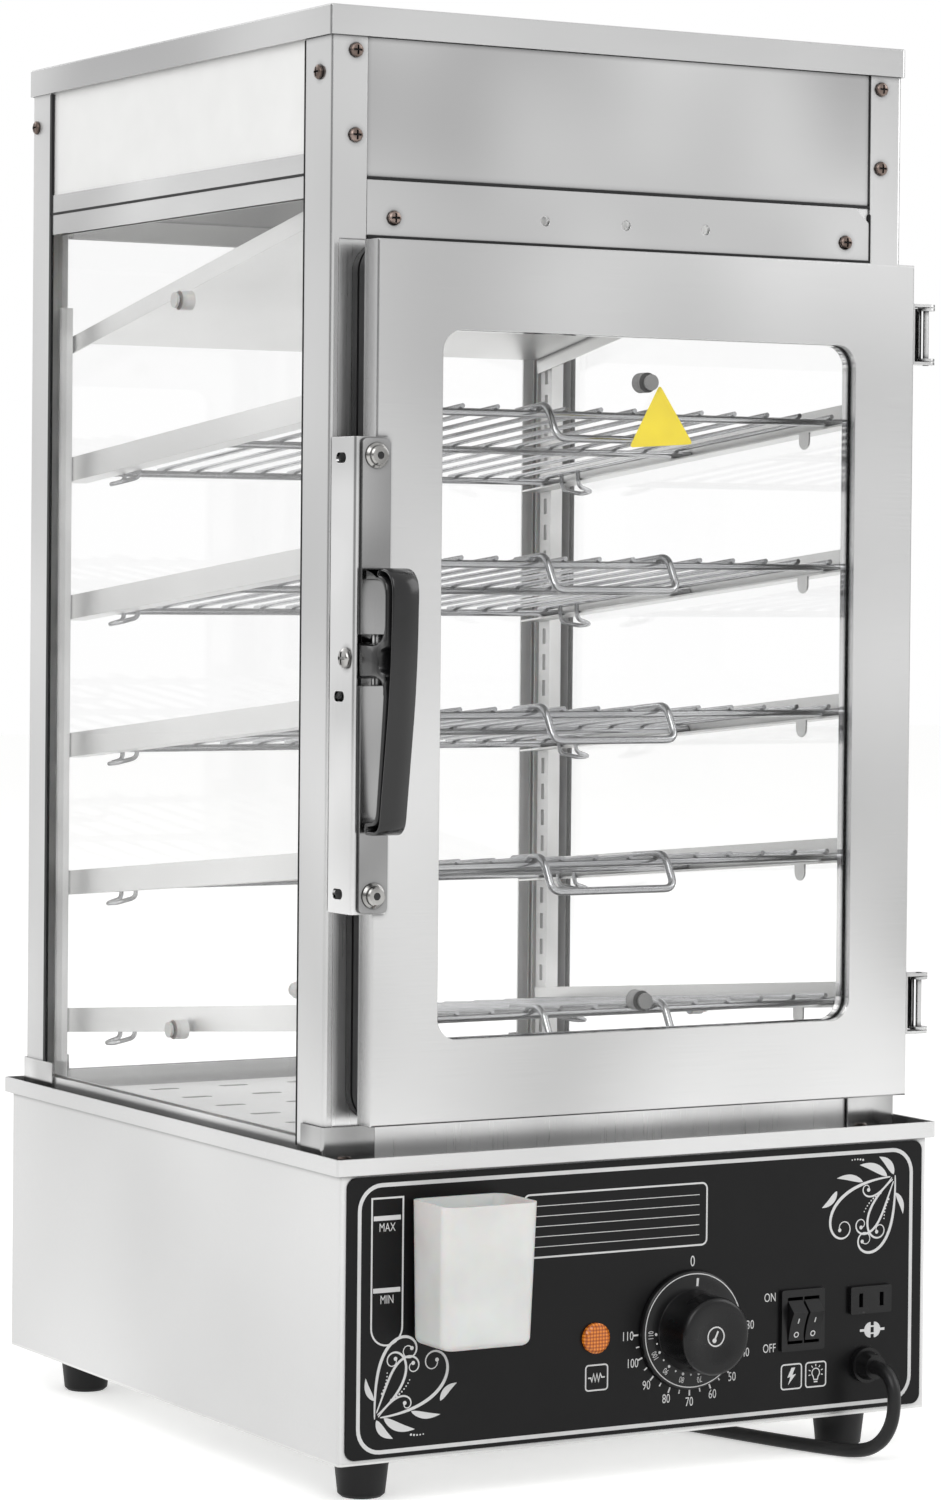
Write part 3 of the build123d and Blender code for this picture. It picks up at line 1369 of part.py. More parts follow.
# Keeper: a plate with two ears and the roller that the lever's nose rides under
keeper_left_x = channel_inner_x + run_gap
keeper_right_x = hub_x + nose_thickness + 0.8 + ear_thickness
with BuildPart() as latch_keeper:
    with BuildSketch(front_plane(post_front_y)):
        with Locations((keeper_left_x, pivot_z)):
            Rectangle(keeper_right_x - keeper_left_x, keeper_height, align=(Align.MIN, Align.CENTER))
    extrude(amount=ear_thickness)
    for ear_left_x in (keeper_left_x, keeper_right_x - ear_thickness):
        with BuildSketch(side_plane(ear_left_x)):
            with Locations((post_front_y, roller_z)):
                Rectangle(post_front_y - roller_y, 2 * roller_radius + 4, align=(Align.MAX, Align.CENTER))
            with Locations((roller_y, roller_z)):
                Circle(roller_radius + 2)
        extrude(amount=ear_thickness)
    bore(
        (keeper_left_x, roller_y, roller_z),
        (1, 0, 0),
        roller_radius / 2,
        keeper_right_x - keeper_left_x,
        mode=Mode.ADD,
    )
    bore(
        (keeper_left_x + ear_thickness + 0.1, roller_y, roller_z),
        (1, 0, 0),
        roller_radius,
        keeper_right_x - keeper_left_x - 2 * ear_thickness - 0.2,
        mode=Mode.ADD,
    )
latch_keeper.part.label = "latch_keeper"
export_step(latch_keeper.part, "parts/latch_keeper.step")

# Frame screws: pan heads with their shanks
with BuildPart() as frame_screws:
    for seat, direction in frame_screw_seats + clip_screws:
        with Locations(Plane(origin=seat, z_dir=direction)):
            add(pan_head.part)
frame_screws.part.label = "frame_screws"
export_step(frame_screws.part, "parts/frame_screws.step")

# Header lamp: a batten under the cover that lights the opal headers
with BuildPart() as header_lamp:
    lamp_top_z = overall_height - case_sheet - seat_gap
    with BuildSketch(side_plane(-110)):
        with Locations((cabinet_middle_y, lamp_top_z)):
            Rectangle(26, 10, align=(Align.CENTER, Align.MAX))
        with Locations((cabinet_middle_y, lamp_top_z - 10)):
            Circle(10)
            Rectangle(30, 30, align=(Align.CENTER, Align.MIN), mode=Mode.SUBTRACT)
        with Locations((cabinet_middle_y, lamp_top_z)):
            Rectangle(26, 10, align=(Align.CENTER, Align.MAX))
    extrude(amount=220)
header_lamp.part.label = "header_lamp"
export_step(header_lamp.part, "parts/header_lamp.step")

# Indicator lamp: faceted amber lens on a threaded barrel
with BuildPart() as indicator_lamp:
    with BuildSketch(front_plane(panel_front_y)):
        with Locations((lamp_x, controls_z)):
            Circle(lamp_radius)
    extrude(amount=3.4)
    chamfer(edges(Select.LAST).group_by(Axis.Y)[0], 1.6)
    bore(
        (lamp_x, panel_front_y, controls_z),
        (0, 1, 0),
        lamp_barrel_radius,
        lamp_barrel_length,
        mode=Mode.ADD,
    )
indicator_lamp.part.label = "indicator_lamp"
export_step(indicator_lamp.part, "parts/indicator_lamp.step")

# Thermostat: switch body behind the panel and its probe in the tank
with BuildPart() as thermostat:
    with BuildSketch(front_plane(wall_inner_y + seat_gap)):
        with Locations((dial_x, controls_z)):
            RectangleRounded(thermostat_width, thermostat_height, 3)
    extrude(amount=-thermostat_depth)
    bore((dial_x, wall_inner_y, controls_z), (0, 1, 0), shaft_radius + shaft_gap, 16)
    probe_x = dial_x + 37.7
    bore((probe_x, tank_front_y - 8, probe_z), (0, 1, 0), probe_radius, probe_length, mode=Mode.ADD)
    body_back_y = wall_inner_y + seat_gap + thermostat_depth
    with BuildLine() as capillary:
        FilletPolyline(
            (dial_x + 12, body_back_y, controls_z),
            (dial_x + 12, body_back_y + 14, controls_z),
            (dial_x + 37.7, body_back_y + 14, controls_z + 20),
            (dial_x + 37.7, body_back_y + 14, probe_z),
            (probe_x, tank_front_y - 8, probe_z),
            radius=5,
        )
    with BuildSketch(Plane(origin=capillary.line @ 0, z_dir=capillary.line % 0)):
        Circle(0.9)
    sweep()
thermostat.part.label = "thermostat"
export_step(thermostat.part, "parts/thermostat.step")

# Thermostat knob: dial skirt, grip with a dished face, and its shaft
dial_face_y = panel_front_y - run_gap - dial_thickness
with BuildPart() as thermostat_knob:
    with BuildSketch(front_plane(panel_front_y - run_gap)):
        with Locations((dial_x, controls_z)):
            Circle(dial_radius)
    extrude(amount=dial_thickness)
    chamfer(edges(Select.LAST).group_by(Axis.Y)[0], 1.2)
    with BuildSketch(front_plane(dial_face_y)):
        with Locations((dial_x, controls_z)):
            Circle(grip_radius)
    extrude(amount=grip_length, taper=3)
    fillet(edges(Select.LAST).group_by(Axis.Y)[0], 2.4)
    with BuildSketch(front_plane(dial_face_y - grip_length)):
        with Locations((dial_x, controls_z)):
            Circle(grip_flute_radius)
    extrude(amount=-1.0, mode=Mode.SUBTRACT)
    bore((dial_x, panel_front_y - run_gap, controls_z), (0, 1, 0), shaft_radius, 14, mode=Mode.ADD)
thermostat_knob.part.label = "thermostat_knob"
export_step(thermostat_knob.part, "parts/thermostat_knob.step")

# Twin switch: bezel and body, with a well for each rocker
rocker_pivot_y = panel_front_y - 1.0
with BuildPart() as switch_body:
    with BuildSketch(front_plane(panel_front_y)):
        with Locations((switch_x, controls_z)):
            RectangleRounded(switch_width, switch_height, 1.2)
    extrude(amount=switch_bezel)
    with BuildSketch(front_plane(panel_front_y)):
        with Locations((switch_x, controls_z)):
            Rectangle(switch_cutout_width, switch_cutout_height)
    extrude(amount=-switch_body_depth)
    with BuildSketch(front_plane(panel_front_y - switch_bezel)):
        with Locations((switch_x, controls_z)):
            with GridLocations(rocker_spacing, 1, 2, 1):
                Rectangle(rocker_width + 2 * run_gap, rocker_height + 2 * run_gap)
    extrude(amount=-12, mode=Mode.SUBTRACT)
    pin_start = (switch_x - switch_cutout_width / 2, rocker_pivot_y, controls_z)
    bore(pin_start, (1, 0, 0), rocker_pin_radius, switch_cutout_width, mode=Mode.ADD)
switch_body.part.label = "switch_body"
export_step(switch_body.part, "parts/switch_body.step")


def rocker(centre_x):
    """Rocker with a ridge near its top and a dished face below it, on the switch's pin."""
    half_height = rocker_height / 2 - 1.4
    with BuildSketch(side_plane(centre_x - rocker_width / 2)) as outline:
        with BuildLine():
            Polyline(
                (rocker_pivot_y + 5.0, controls_z - half_height + 3.0),
                (rocker_pivot_y - 1.6, controls_z - half_height),
            )
            ThreePointArc(
                (rocker_pivot_y - 1.6, controls_z - half_height),
                (rocker_pivot_y - 3.2, controls_z - 2.5),
                (rocker_pivot_y - 6.4, controls_z + 4.6),
            )
            Polyline(
                (rocker_pivot_y - 6.4, controls_z + 4.6),
                (rocker_pivot_y - 0.8, controls_z + half_height),
                (rocker_pivot_y + 4.0, controls_z + half_height - 2.5),
                (rocker_pivot_y + 5.0, controls_z - half_height + 3.0),
            )
        make_face()
    extrude(outline.sketch, amount=rocker_width)
    pin_start = (centre_x - rocker_width / 2, rocker_pivot_y, controls_z)
    bore(pin_start, (1, 0, 0), rocker_pin_radius + shaft_gap, rocker_width)


with BuildPart() as power_rocker:
    rocker(switch_x - rocker_spacing / 2)
power_rocker.part.label = "power_rocker"
export_step(power_rocker.part, "parts/power_rocker.step")

with BuildPart() as light_rocker:
    rocker(switch_x + rocker_spacing / 2)
light_rocker.part.label = "light_rocker"
export_step(light_rocker.part, "parts/light_rocker.step")

# Outlet: bezel with two blade slots, and its body
with BuildPart() as outlet_socket:
    with BuildSketch(front_plane(panel_front_y)):
        with Locations((outlet_x, outlet_z)):
            RectangleRounded(outlet_width, outlet_height, 1)
    extrude(amount=2.4)
    with BuildSketch(front_plane(panel_front_y)):
        with Locations((outlet_x, outlet_z)):
            Rectangle(outlet_cutout_width, outlet_cutout_height)
    extrude(amount=-18)
    with BuildSketch(front_plane(panel_front_y - 2.4)):
        with Locations((outlet_x, outlet_z)):
            with GridLocations(outlet_slot_spacing, 1, 2, 1):
                Rectangle(2.4, 7)
    extrude(amount=-14, mode=Mode.SUBTRACT)
outlet_socket.part.label = "outlet_socket"
export_step(outlet_socket.part, "parts/outlet_socket.step")

# Cord gland: flange, tapered strain relief and the barrel through the wall
cord_radius = cord_diameter / 2
with BuildPart() as cord_gland:
    with BuildSketch(front_plane(panel_front_y)):
        with Locations((gland_x, gland_z)):
            Circle(gland_flange_radius)
    extrude(amount=3)
    with BuildSketch(front_plane(panel_front_y - 3)):
        with Locations((gland_x, gland_z)):
            Circle(gland_nose_radius)
    with BuildSketch(front_plane(panel_front_y - gland_nose_length)):
        with Locations((gland_x, gland_z)):
            Circle(gland_tip_radius)
    loft()
    bore((gland_x, panel_front_y, gland_z), (0, 1, 0), gland_hole_radius, 10, mode=Mode.ADD)
cord_gland.part.label = "cord_gland"
export_step(cord_gland.part, "parts/cord_gland.step")

# Filler cup: a tapered translucent hopper on the panel, open at the top
cup_middle_x = (cup_left_x + cup_right_x) / 2
cup_width = cup_right_x - cup_left_x


def cup_section(z, inset, corner):
    """Cross-section of the cup at one height, inset from its outside."""
    drop = (cup_top_z - z) / (cup_top_z - cup_bottom_z) * cup_taper
    with BuildSketch(Plane.XY.offset(z)) as outline:
        with Locations((cup_middle_x, panel_front_y - inset)):
            RectangleRounded(
                cup_width - 2 * inset - drop,
                cup_reach - 2 * inset - drop,
                corner,
                align=(Align.CENTER, Align.MAX),
            )
    return outline.sketch


with BuildPart() as filler_cup:
    loft([cup_section(cup_bottom_z, 0, cup_corner), cup_section(cup_top_z, 0, cup_corner)])
    fillet(filler_cup.faces().sort_by(Axis.Z)[0].edges(), 4)
    inner_corner = cup_corner - cup_wall
    loft(
        [
            cup_section(cup_bottom_z + 2 * cup_wall, cup_wall, inner_corner),
            cup_section(cup_top_z + 1, cup_wall, inner_corner),
        ],
        mode=Mode.SUBTRACT,
    )
    bore((filler_x, panel_front_y - cup_wall - 1, filler_z), (0, 1, 0), filler_radius - 2, cup_wall + 2)
filler_cup.part.label = "filler_cup"
export_step(filler_cup.part, "parts/filler_cup.step")

# Filler pipe from the cup's back to the tank
with BuildPart() as filler_pipe:
    pipe_length = tank_front_y + 6 - panel_front_y
    bore((filler_x, panel_front_y, filler_z), (0, 1, 0), filler_radius, pipe_length, mode=Mode.ADD)
    bore((filler_x, panel_front_y, filler_z), (0, 1, 0), filler_radius - 2, pipe_length)
filler_pipe.part.label = "filler_pipe"
export_step(filler_pipe.part, "parts/filler_pipe.step")

# Drain valve: pipe from the tank, hexagon body and hose spout behind the base
drain_end_y = base_back_y + drain_reach
valve_middle_y = base_back_y + seat_gap + 12
with BuildPart() as drain_valve:
    bore(
        (drain_x, tank_back_y - 6, drain_z),
        (0, 1, 0),
        drain_pipe_radius,
        drain_end_y - tank_back_y,
        mode=Mode.ADD,
    )
    with BuildSketch(front_plane(base_back_y + seat_gap)):
        with Locations((drain_x, drain_z)):
            RegularPolygon(drain_body_radius, 6)
    extrude(amount=-24)
    bore(
        (drain_x, drain_end_y - drain_spout_length, drain_z),
        (0, 1, 0),
        drain_pipe_radius,
        drain_spout_length,
        mode=Mode.ADD,
    )
    bore((drain_x, valve_middle_y, drain_z), (0, 0, 1), 5.0, drain_body_radius + 3, mode=Mode.ADD)
    bore(
        (drain_x, tank_back_y - 6, drain_z),
        (0, 1, 0),
        drain_pipe_radius - 2,
        drain_end_y - tank_back_y + 6,
    )
drain_valve.part.label = "drain_valve"
export_step(drain_valve.part, "parts/drain_valve.step")

# Drain lever: a flat handle across the valve's stem
lever_z = drain_z + drain_body_radius + 3 + run_gap
with BuildPart() as drain_lever:
    with BuildSketch(Plane.XY.offset(lever_z)):
        with Locations((drain_x, valve_middle_y)):
            Circle(8)
        with Locations((drain_x, valve_middle_y)):
            Rectangle(drain_lever_length, drain_lever_width, align=(Align.MAX, Align.CENTER))
    extrude(amount=3)
    fillet(drain_lever.edges().filter_by(Axis.Z).group_by(Axis.X)[0], drain_lever_width / 2 - 0.5)
    bore((drain_x, valve_middle_y, lever_z + 3), (0, 0, 1), 4.5, 4, mode=Mode.ADD)
drain_lever.part.label = "drain_lever"
export_step(drain_lever.part, "parts/drain_lever.step")

# Heater: a sheathed element bent in a hairpin, with its terminals outside the tank
with BuildPart() as heater:
    half_spread = heater_spread / 2
    heater_front_y = tank_front_y - heater_cold_end
    with BuildLine() as element:
        run_end_y = tank_front_y + heater_run
        first_leg = Line((-half_spread, heater_front_y, heater_z), (-half_spread, run_end_y, heater_z))
        turn = ThreePointArc(
            first_leg @ 1, (0, run_end_y + half_spread, heater_z), (half_spread, run_end_y, heater_z)
        )
        Line(turn @ 1, (half_spread, heater_front_y, heater_z))
    with BuildSketch(Plane(origin=element.line @ 0, z_dir=element.line % 0)):
        Circle(heater_radius)
    sweep()
    for leg_x in (-half_spread, half_spread):
        with BuildSketch(front_plane(tank_front_y - seat_gap)):
            with Locations((leg_x, heater_z)):
                RegularPolygon(heater_radius + 5, 6)
        extrude(amount=5)
        bore((leg_x, heater_front_y, heater_z), (0, -1, 0), 1.5, 8, mode=Mode.ADD)
heater.part.label = "heater"
export_step(heater.part, "parts/heater.step")

# Float guide: a stem on the tank's floor with a stop collar
with BuildPart() as float_guide:
    guide_bottom_z = tank_bottom_z + inner_sheet
    bore((float_x, float_y, guide_bottom_z), (0, 0, 1), 9.0, 3, mode=Mode.ADD)
    guide_length = float_rest_z + float_height + float_travel + 6 - guide_bottom_z
    bore((float_x, float_y, guide_bottom_z), (0, 0, 1), guide_radius, guide_length, mode=Mode.ADD)
    bore((float_x, float_y, float_rest_z - run_gap - 2), (0, 0, 1), guide_radius + 3, 2, mode=Mode.ADD)
    bore(
        (float_x, float_y, float_rest_z + float_height + float_travel + run_gap),
        (0, 0, 1),
        guide_radius + 3,
        2,
        mode=Mode.ADD,
    )
float_guide.part.label = "float_guide"
export_step(float_guide.part, "parts/float_guide.step")

with BuildPart() as float_ball:
    bore((float_x, float_y, float_rest_z), (0, 0, 1), float_radius, float_height, mode=Mode.ADD)
    chamfer(float_ball.edges().filter_by(GeomType.CIRCLE), 2)
    bore((float_x, float_y, float_rest_z), (0, 0, 1), guide_radius + shaft_gap, float_height)
float_ball.part.label = "float_ball"
export_step(float_ball.part, "parts/float_ball.step")

# Power cord: its route from the gland, under the base and into a coil behind it
gland_tip_y = panel_front_y - gland_nose_length
coil_z = cord_radius + 0.1
coil_start_x = coil_x + coil_outer_radius
coil_start_y = coil_y - cord_diameter
cord_route = [
    (gland_x, gland_tip_y, gland_z),
    (gland_x, -209.3, 47.0),
    (133.1, -216.2, 41.2),
    (133.3, -217.9, 31.4),
    (132.9, -215.8, 19.6),
    (131.2, -208.6, 9.4),
    (127.5, -197.0, 3.6),
    (116.5, -177.0, 3.6),
    (101.0, -136.0, 3.6),
    (78.0, -60.0, 3.6),
    (66.0, 38.0, 3.6),
    (44.0, 132.0, 3.6),
    (32.0, 212.0, 3.6),
    (coil_start_x, coil_start_y, coil_z),
]


def route_radii(points):
    """Arc radius at each inner point: 0.45 of the shorter run over the tangent of half the turn."""
    radii = []
    for before, here, after in zip(points, points[1:], points[2:]):
        arriving = Vector(*here) - Vector(*before)
        leaving = Vector(*after) - Vector(*here)
        half_turn = radians(arriving.get_angle(leaving)) / 2
        radii.append(0.45 * min(arriving.length, leaving.length) / tan(half_turn))
    return radii


cord_radii = route_radii(cord_route)
print("cord arc radii:", [round(radius, 1) for radius in cord_radii])
with BuildPart() as cord_lead:
    with BuildLine() as lead_path:
        FilletPolyline(*cord_route, radius=cord_radii)
    with BuildSketch(Plane(origin=lead_path.line @ 0, z_dir=lead_path.line % 0)):
        Circle(cord_radius)
    sweep()
lead_length = lead_path.wire().length
lead_share = cord_lead.part.volume / (pi * cord_radius**2 * lead_length)
print("cord lead volume over section times length:", lead_share)
cord_lead.part.label = "cord_lead"
export_step(cord_lead.part, "parts/cord_lead.step")


def coil_distances():
    """Distance from the coil's middle at each half turn of one layer, outside to inside."""
    steady = [coil_outer_radius - coil_pitch / 2 * step for step in range(coil_half_turns)]
    return steady + [steady[-1] - coil_pitch / 2 - coil_reversal_step]


def coil_half_turn(start, finish, side, height):
    """Half turn from one side of the coil to the other, counter-clockwise seen from above."""
    middle_x = coil_x + side * (start - finish) / 2
    radius = (start + finish) / 2
    ThreePointArc(
        (coil_x + side * start, coil_y, height),
        (middle_x, coil_y + side * radius, height),
        (coil_x - side * finish, coil_y, height),
    )


# Coil: two layers of turns, spiralling in along the floor and out again on top
coil_top_z = coil_z + coil_layer_rise
with BuildPart() as cord_coil:
    distances = coil_distances()
    inner = distances[-1]
    side = 1
    with BuildLine() as coil_path:
        Line((coil_start_x, coil_start_y, coil_z), (coil_start_x, coil_y, coil_z))
        for start, finish in zip(distances, distances[1:]):
            coil_half_turn(start, finish, side, coil_z)
            side = -side
        climb_radius = sqrt(inner**2 + (coil_layer_rise / 2) ** 2)
        climb_start = (coil_x + side * inner, coil_y, coil_z)
        climb_middle = (coil_x, coil_y + side * climb_radius, coil_z + coil_layer_rise / 2)
        climb_end = (coil_x - side * inner, coil_y, coil_top_z)
        TangentArc(climb_start, climb_middle, tangent=(0, side, 0))
        TangentArc(climb_middle, climb_end, tangent=(-side * inner, 0, coil_layer_rise / 2))
        side = -side
        for start, finish in zip(distances[::-1], distances[-2::-1]):
            coil_half_turn(start, finish, side, coil_top_z)
            side = -side
        plug_x = coil_x + side * coil_outer_radius
        plug_y = coil_y + side * plug_run
        Line((plug_x, coil_y, coil_top_z), (plug_x, plug_y, coil_top_z))
    with BuildSketch(Plane(origin=coil_path.line @ 0, z_dir=coil_path.line % 0)):
        Circle(cord_radius)
    sweep()
coil_length = coil_path.wire().length
coil_share = cord_coil.part.volume / (pi * cord_radius**2 * coil_length)
print("cord coil volume over section times length:", coil_share)
print("cord length:", round(lead_length + coil_length))
cord_coil.part.label = "cord_coil"
export_step(cord_coil.part, "parts/cord_coil.step")


def least_self_gap(path, diameter, step=2.0):
    """Least gap of a wound tube to itself, measured on points along its path."""
    count = int(path.length / step)
    points = [path @ (index / count) for index in range(count + 1)]
    apart = int(2.5 * diameter / step)
    distances = [
        (points[first] - points[second]).length
        for first in range(count + 1)
        for second in range(first + apart, count + 1)
    ]
    return min(distances) - diameter


print("coil's least gap to itself:", round(least_self_gap(coil_path.wire(), cord_diameter), 2))

# Plug: moulded body with finger grips, a strain relief and two flat blades
with BuildPart() as plug:
    plug_height = 2 * (coil_top_z - 0.1)
    relief_y = plug_y - plug_relief
    plug_end_y = relief_y - plug_length
    with BuildSketch(front_plane(plug_y)):
        with Locations((plug_x, coil_top_z)):
            Circle(cord_radius + 1)
    with BuildSketch(front_plane(relief_y)):
        with Locations((plug_x, coil_top_z)):
            Circle(cord_radius + 3)
    loft()
    with BuildSketch(front_plane(relief_y)):
        with Locations((plug_x, coil_top_z)):
            RectangleRounded(plug_width, plug_height, 5)
    extrude(amount=plug_length)
    chamfer(plug.edges().group_by(Axis.Y)[0], 1.5)
    with BuildSketch(front_plane(plug_end_y)):
        with Locations((plug_x, coil_top_z)):
            with GridLocations(blade_spacing, 1, 2, 1):
                Rectangle(1.5, 6.4)
    extrude(amount=blade_length)
plug.part.label = "plug"
export_step(plug.part, "parts/plug.step")
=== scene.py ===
"""Commercial food steamer: finishes, printed panel, fasteners, wire shelves, cord, light and camera.

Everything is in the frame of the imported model: +X to the right seen from the front, -Y to the
front, +Z up, origin on the floor. Sizes are named in millimetres and turned to metres when a
mesh is made.
"""
from __future__ import annotations

import json
import logging
import math
from dataclasses import dataclass, field
from enum import Enum
from typing import Any, Iterable, Sequence

import bmesh
import bpy
from mathutils import Matrix, Vector

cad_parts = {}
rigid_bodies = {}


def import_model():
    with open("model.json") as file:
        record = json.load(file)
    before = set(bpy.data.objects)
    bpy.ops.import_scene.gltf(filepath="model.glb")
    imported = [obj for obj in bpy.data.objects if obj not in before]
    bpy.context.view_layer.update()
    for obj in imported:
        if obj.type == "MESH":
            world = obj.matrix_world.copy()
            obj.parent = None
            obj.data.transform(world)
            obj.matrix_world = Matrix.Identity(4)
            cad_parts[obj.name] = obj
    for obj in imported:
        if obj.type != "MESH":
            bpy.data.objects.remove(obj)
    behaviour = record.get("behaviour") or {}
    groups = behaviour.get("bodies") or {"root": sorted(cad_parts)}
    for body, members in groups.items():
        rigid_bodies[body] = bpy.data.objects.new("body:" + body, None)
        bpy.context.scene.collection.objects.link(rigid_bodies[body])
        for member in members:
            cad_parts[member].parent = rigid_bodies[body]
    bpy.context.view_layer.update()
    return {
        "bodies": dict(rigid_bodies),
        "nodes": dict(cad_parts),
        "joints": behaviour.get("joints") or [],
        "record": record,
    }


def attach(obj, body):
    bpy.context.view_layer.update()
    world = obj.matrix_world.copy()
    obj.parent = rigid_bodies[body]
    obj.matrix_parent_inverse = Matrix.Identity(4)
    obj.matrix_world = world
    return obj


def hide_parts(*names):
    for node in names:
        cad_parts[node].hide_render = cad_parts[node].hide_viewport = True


log = logging.getLogger("steamer")
MM = 0.001
Point2 = tuple[float, float]
Point3 = tuple[float, float, float]
Tree, Socket, Mesh, Piece = bpy.types.NodeTree, bpy.types.NodeSocket, bpy.types.Mesh, bpy.types.Object
Shape, Vertex = bmesh.types.BMesh, bmesh.types.BMVert

# Places shared by several sub-assemblies, as in the solid model
PANEL_FACE_Y = -191.8
DIAL_CENTRE: Point2 = (26.8, 73.0)
SHELF_COUNT = 5


# Small tools for nodes, colours and meshes


def linear(code: str) -> tuple[float, float, float, float]:
    """Turns an sRGB hex colour into linear values.

    Args:
        code: Colour such as "#C8C8C6".

    Returns:
        Red, green, blue and an alpha of 1.
    """
    parts = [int(code[start : start + 2], 16) / 255 for start in (1, 3, 5)]
    red, green, blue = (p / 12.92 if p <= 0.04045 else ((p + 0.055) / 1.055) ** 2.4 for p in parts)
    return red, green, blue, 1.0


def metres(*sizes: float) -> tuple[float, ...]:
    """Turns millimetres into metres."""
    return tuple(size * MM for size in sizes)


def add_node(tree: Tree, kind: str, inputs: dict[Any, Any] | None = None, **settings: Any) -> Any:
    """Adds a node with its settings, and links or sets its inputs.

    Args:
        tree: Node tree that gets the node.
        kind: Blender's identifier of the node type.
        inputs: Socket name or index, with a value or an output socket to link.
        settings: Attributes of the node itself.

    Returns:
        The new node.
    """
    node = tree.nodes.new(kind)
    for key, value in settings.items():
        setattr(node, key, value)
    for key, value in (inputs or {}).items():
        if isinstance(value, bpy.types.NodeSocket):
            tree.links.new(value, node.inputs[key])
        else:
            node.inputs[key].default_value = value
    return node


def output(tree: Tree, kind: str, inputs: dict[Any, Any] | None = None, **settings: Any) -> Socket:
    """Adds a node and returns its first output."""
    return add_node(tree, kind, inputs, **settings).outputs[0]


def mixed_colour(tree: Tree, share: Socket, first: Any, second: Any) -> Socket:
    """Mix of two colours, each linear values or a socket."""
    return add_node(tree, "ShaderNodeMix", {0: share, 6: first, 7: second}, data_type="RGBA").outputs[2]


def put(name: str, data: Any) -> Piece:
    """Links data into the scene as an object at the origin."""
    piece = bpy.data.objects.new(name, data)
    bpy.context.scene.collection.objects.link(piece)
    return piece


def opened(mesh: Mesh) -> Shape:
    """Copies a mesh into an editable one."""
    shape = bmesh.new()
    shape.from_mesh(mesh)
    return shape


def write_back(shape: Shape, mesh: Mesh) -> None:
    """Puts an edited mesh into a plain one and frees it."""
    shape.to_mesh(mesh)
    shape.free()


def from_bmesh(name: str, shape: Shape, finish: Finish, smooth: bool) -> Piece:
    """Makes an object of an edited mesh.

    Args:
        name: Name of the piece.
        shape: Edited mesh in metres. It is freed.
        finish: Finish of every face.
        smooth: Whether faces are shaded smooth.

    Returns:
        The new object.
    """
    mesh = bpy.data.meshes.new(name)
    for face in shape.faces:
        face.smooth = smooth
    write_back(shape, mesh)
    mesh.materials.append(finish.material())
    return put(name, mesh)


def sharpen(piece: Piece, angle: float) -> None:
    """Marks the edges over an angle in degrees as sharp, so that smooth shading stops there.

    Args:
        piece: Piece with a smooth-shaded mesh.
        angle: Limit in degrees.
    """
    shape = opened(piece.data)
    for edge in shape.edges:
        if len(edge.link_faces) == 2 and edge.calc_face_angle(0.0) > math.radians(angle):
            edge.smooth = False
    write_back(shape, piece.data)


def upright(y: float) -> Matrix:
    """Plane that faces the front at depth y in mm: its own x is X and its own y is Z."""
    return Matrix(((1, 0, 0, 0), (0, 0, -1, y * MM), (0, 1, 0, 0), (0, 0, 0, 1)))


# Points and outlines, in mm


def arc(centre: Point2, radius: float, start: float, end: float, steps: int) -> list[Point2]:
    """Points on an arc, both ends included.

    Args:
        centre: Its centre.
        radius: Its radius.
        start: First angle in degrees, from +x counter-clockwise.
        end: Last angle.
        steps: Number of points.

    Returns:
        The points.
    """
    turns = [math.radians(start + (end - start) * index / (steps - 1)) for index in range(steps)]
    return [(centre[0] + radius * math.cos(turn), centre[1] + radius * math.sin(turn)) for turn in turns]


def circle(centre: Point2, radius: float, steps: int) -> list[Point2]:
    """Points round a circle."""
    return arc(centre, radius, 0.0, 360.0 * (steps - 1) / steps, steps)


def spoke(centre: Point2, angle: float, *radii: float) -> list[Point2]:
    """Points in one direction from a centre, one per radius."""
    return [arc(centre, radius, angle, angle, 2)[0] for radius in radii]


def eased(before: Sequence[float], here: Sequence[float], after: Sequence[float], cut: float, steps: int) -> Any:
    """Points that round a corner with a parabola.

    Args:
        before: Corner before this one.
        here: The corner.
        after: Corner after it.
        cut: Distance from the corner at which the rounding starts and ends.
        steps: Number of points.

    Returns:
        The points as vectors.
    """
    spot = Vector(here)
    first = spot + (Vector(before) - spot).normalized() * cut
    last = spot + (Vector(after) - spot).normalized() * cut
    shares = [step / (steps - 1) for step in range(steps)]
    return [(1 - share) ** 2 * first + 2 * share * (1 - share) * spot + share**2 * last for share in shares]


def rounded(corners: Sequence[Point3], steps: int = 7) -> list[Point2]:
    """Closed outline with its corners rounded.

    Args:
        corners: The sharp corners in order, each followed by the distance at which its rounding starts.
        steps: Points per corner.

    Returns:
        The outline's points.
    """
    spots = [corner[:2] for corner in corners]
    turns = zip(spots[-1:] + spots[:-1], corners, spots[1:] + spots[:1])
    return [tuple(point) for last, (x, y, cut), after in turns for point in eased(last, (x, y), after, cut, steps)]


def mitre(before: Vector, here: Vector, after: Vector, limit: float) -> Vector:
    """Step to the left at a corner, which moves both of its sides by 1.

    Args:
        before: Point before the corner.
        here: The corner.
        after: Point after it.
        limit: Smallest cosine that counts, so that a sharp corner's step stays short.

    Returns:
        The step.
    """
    arriving, leaving = (here - before).normalized(), (after - here).normalized()
    along = (arriving + leaving).normalized()
    across = Vector((-along.y, along.x))
    return across / max(limit, across.dot(Vector((-arriving.y, arriving.x))))


def offset(points: Sequence[Point2], distance: float) -> list[Point2]:
    """Moves a closed outline sideways, point for point, to its left where the distance is above 0."""
    spots = [Vector(point) for point in points]
    turns = zip(spots[-1:] + spots[:-1], spots, spots[1:] + spots[:1])
    return [tuple(here + mitre(before, here, after, 0.6) * distance) for before, here, after in turns]


# Finishes


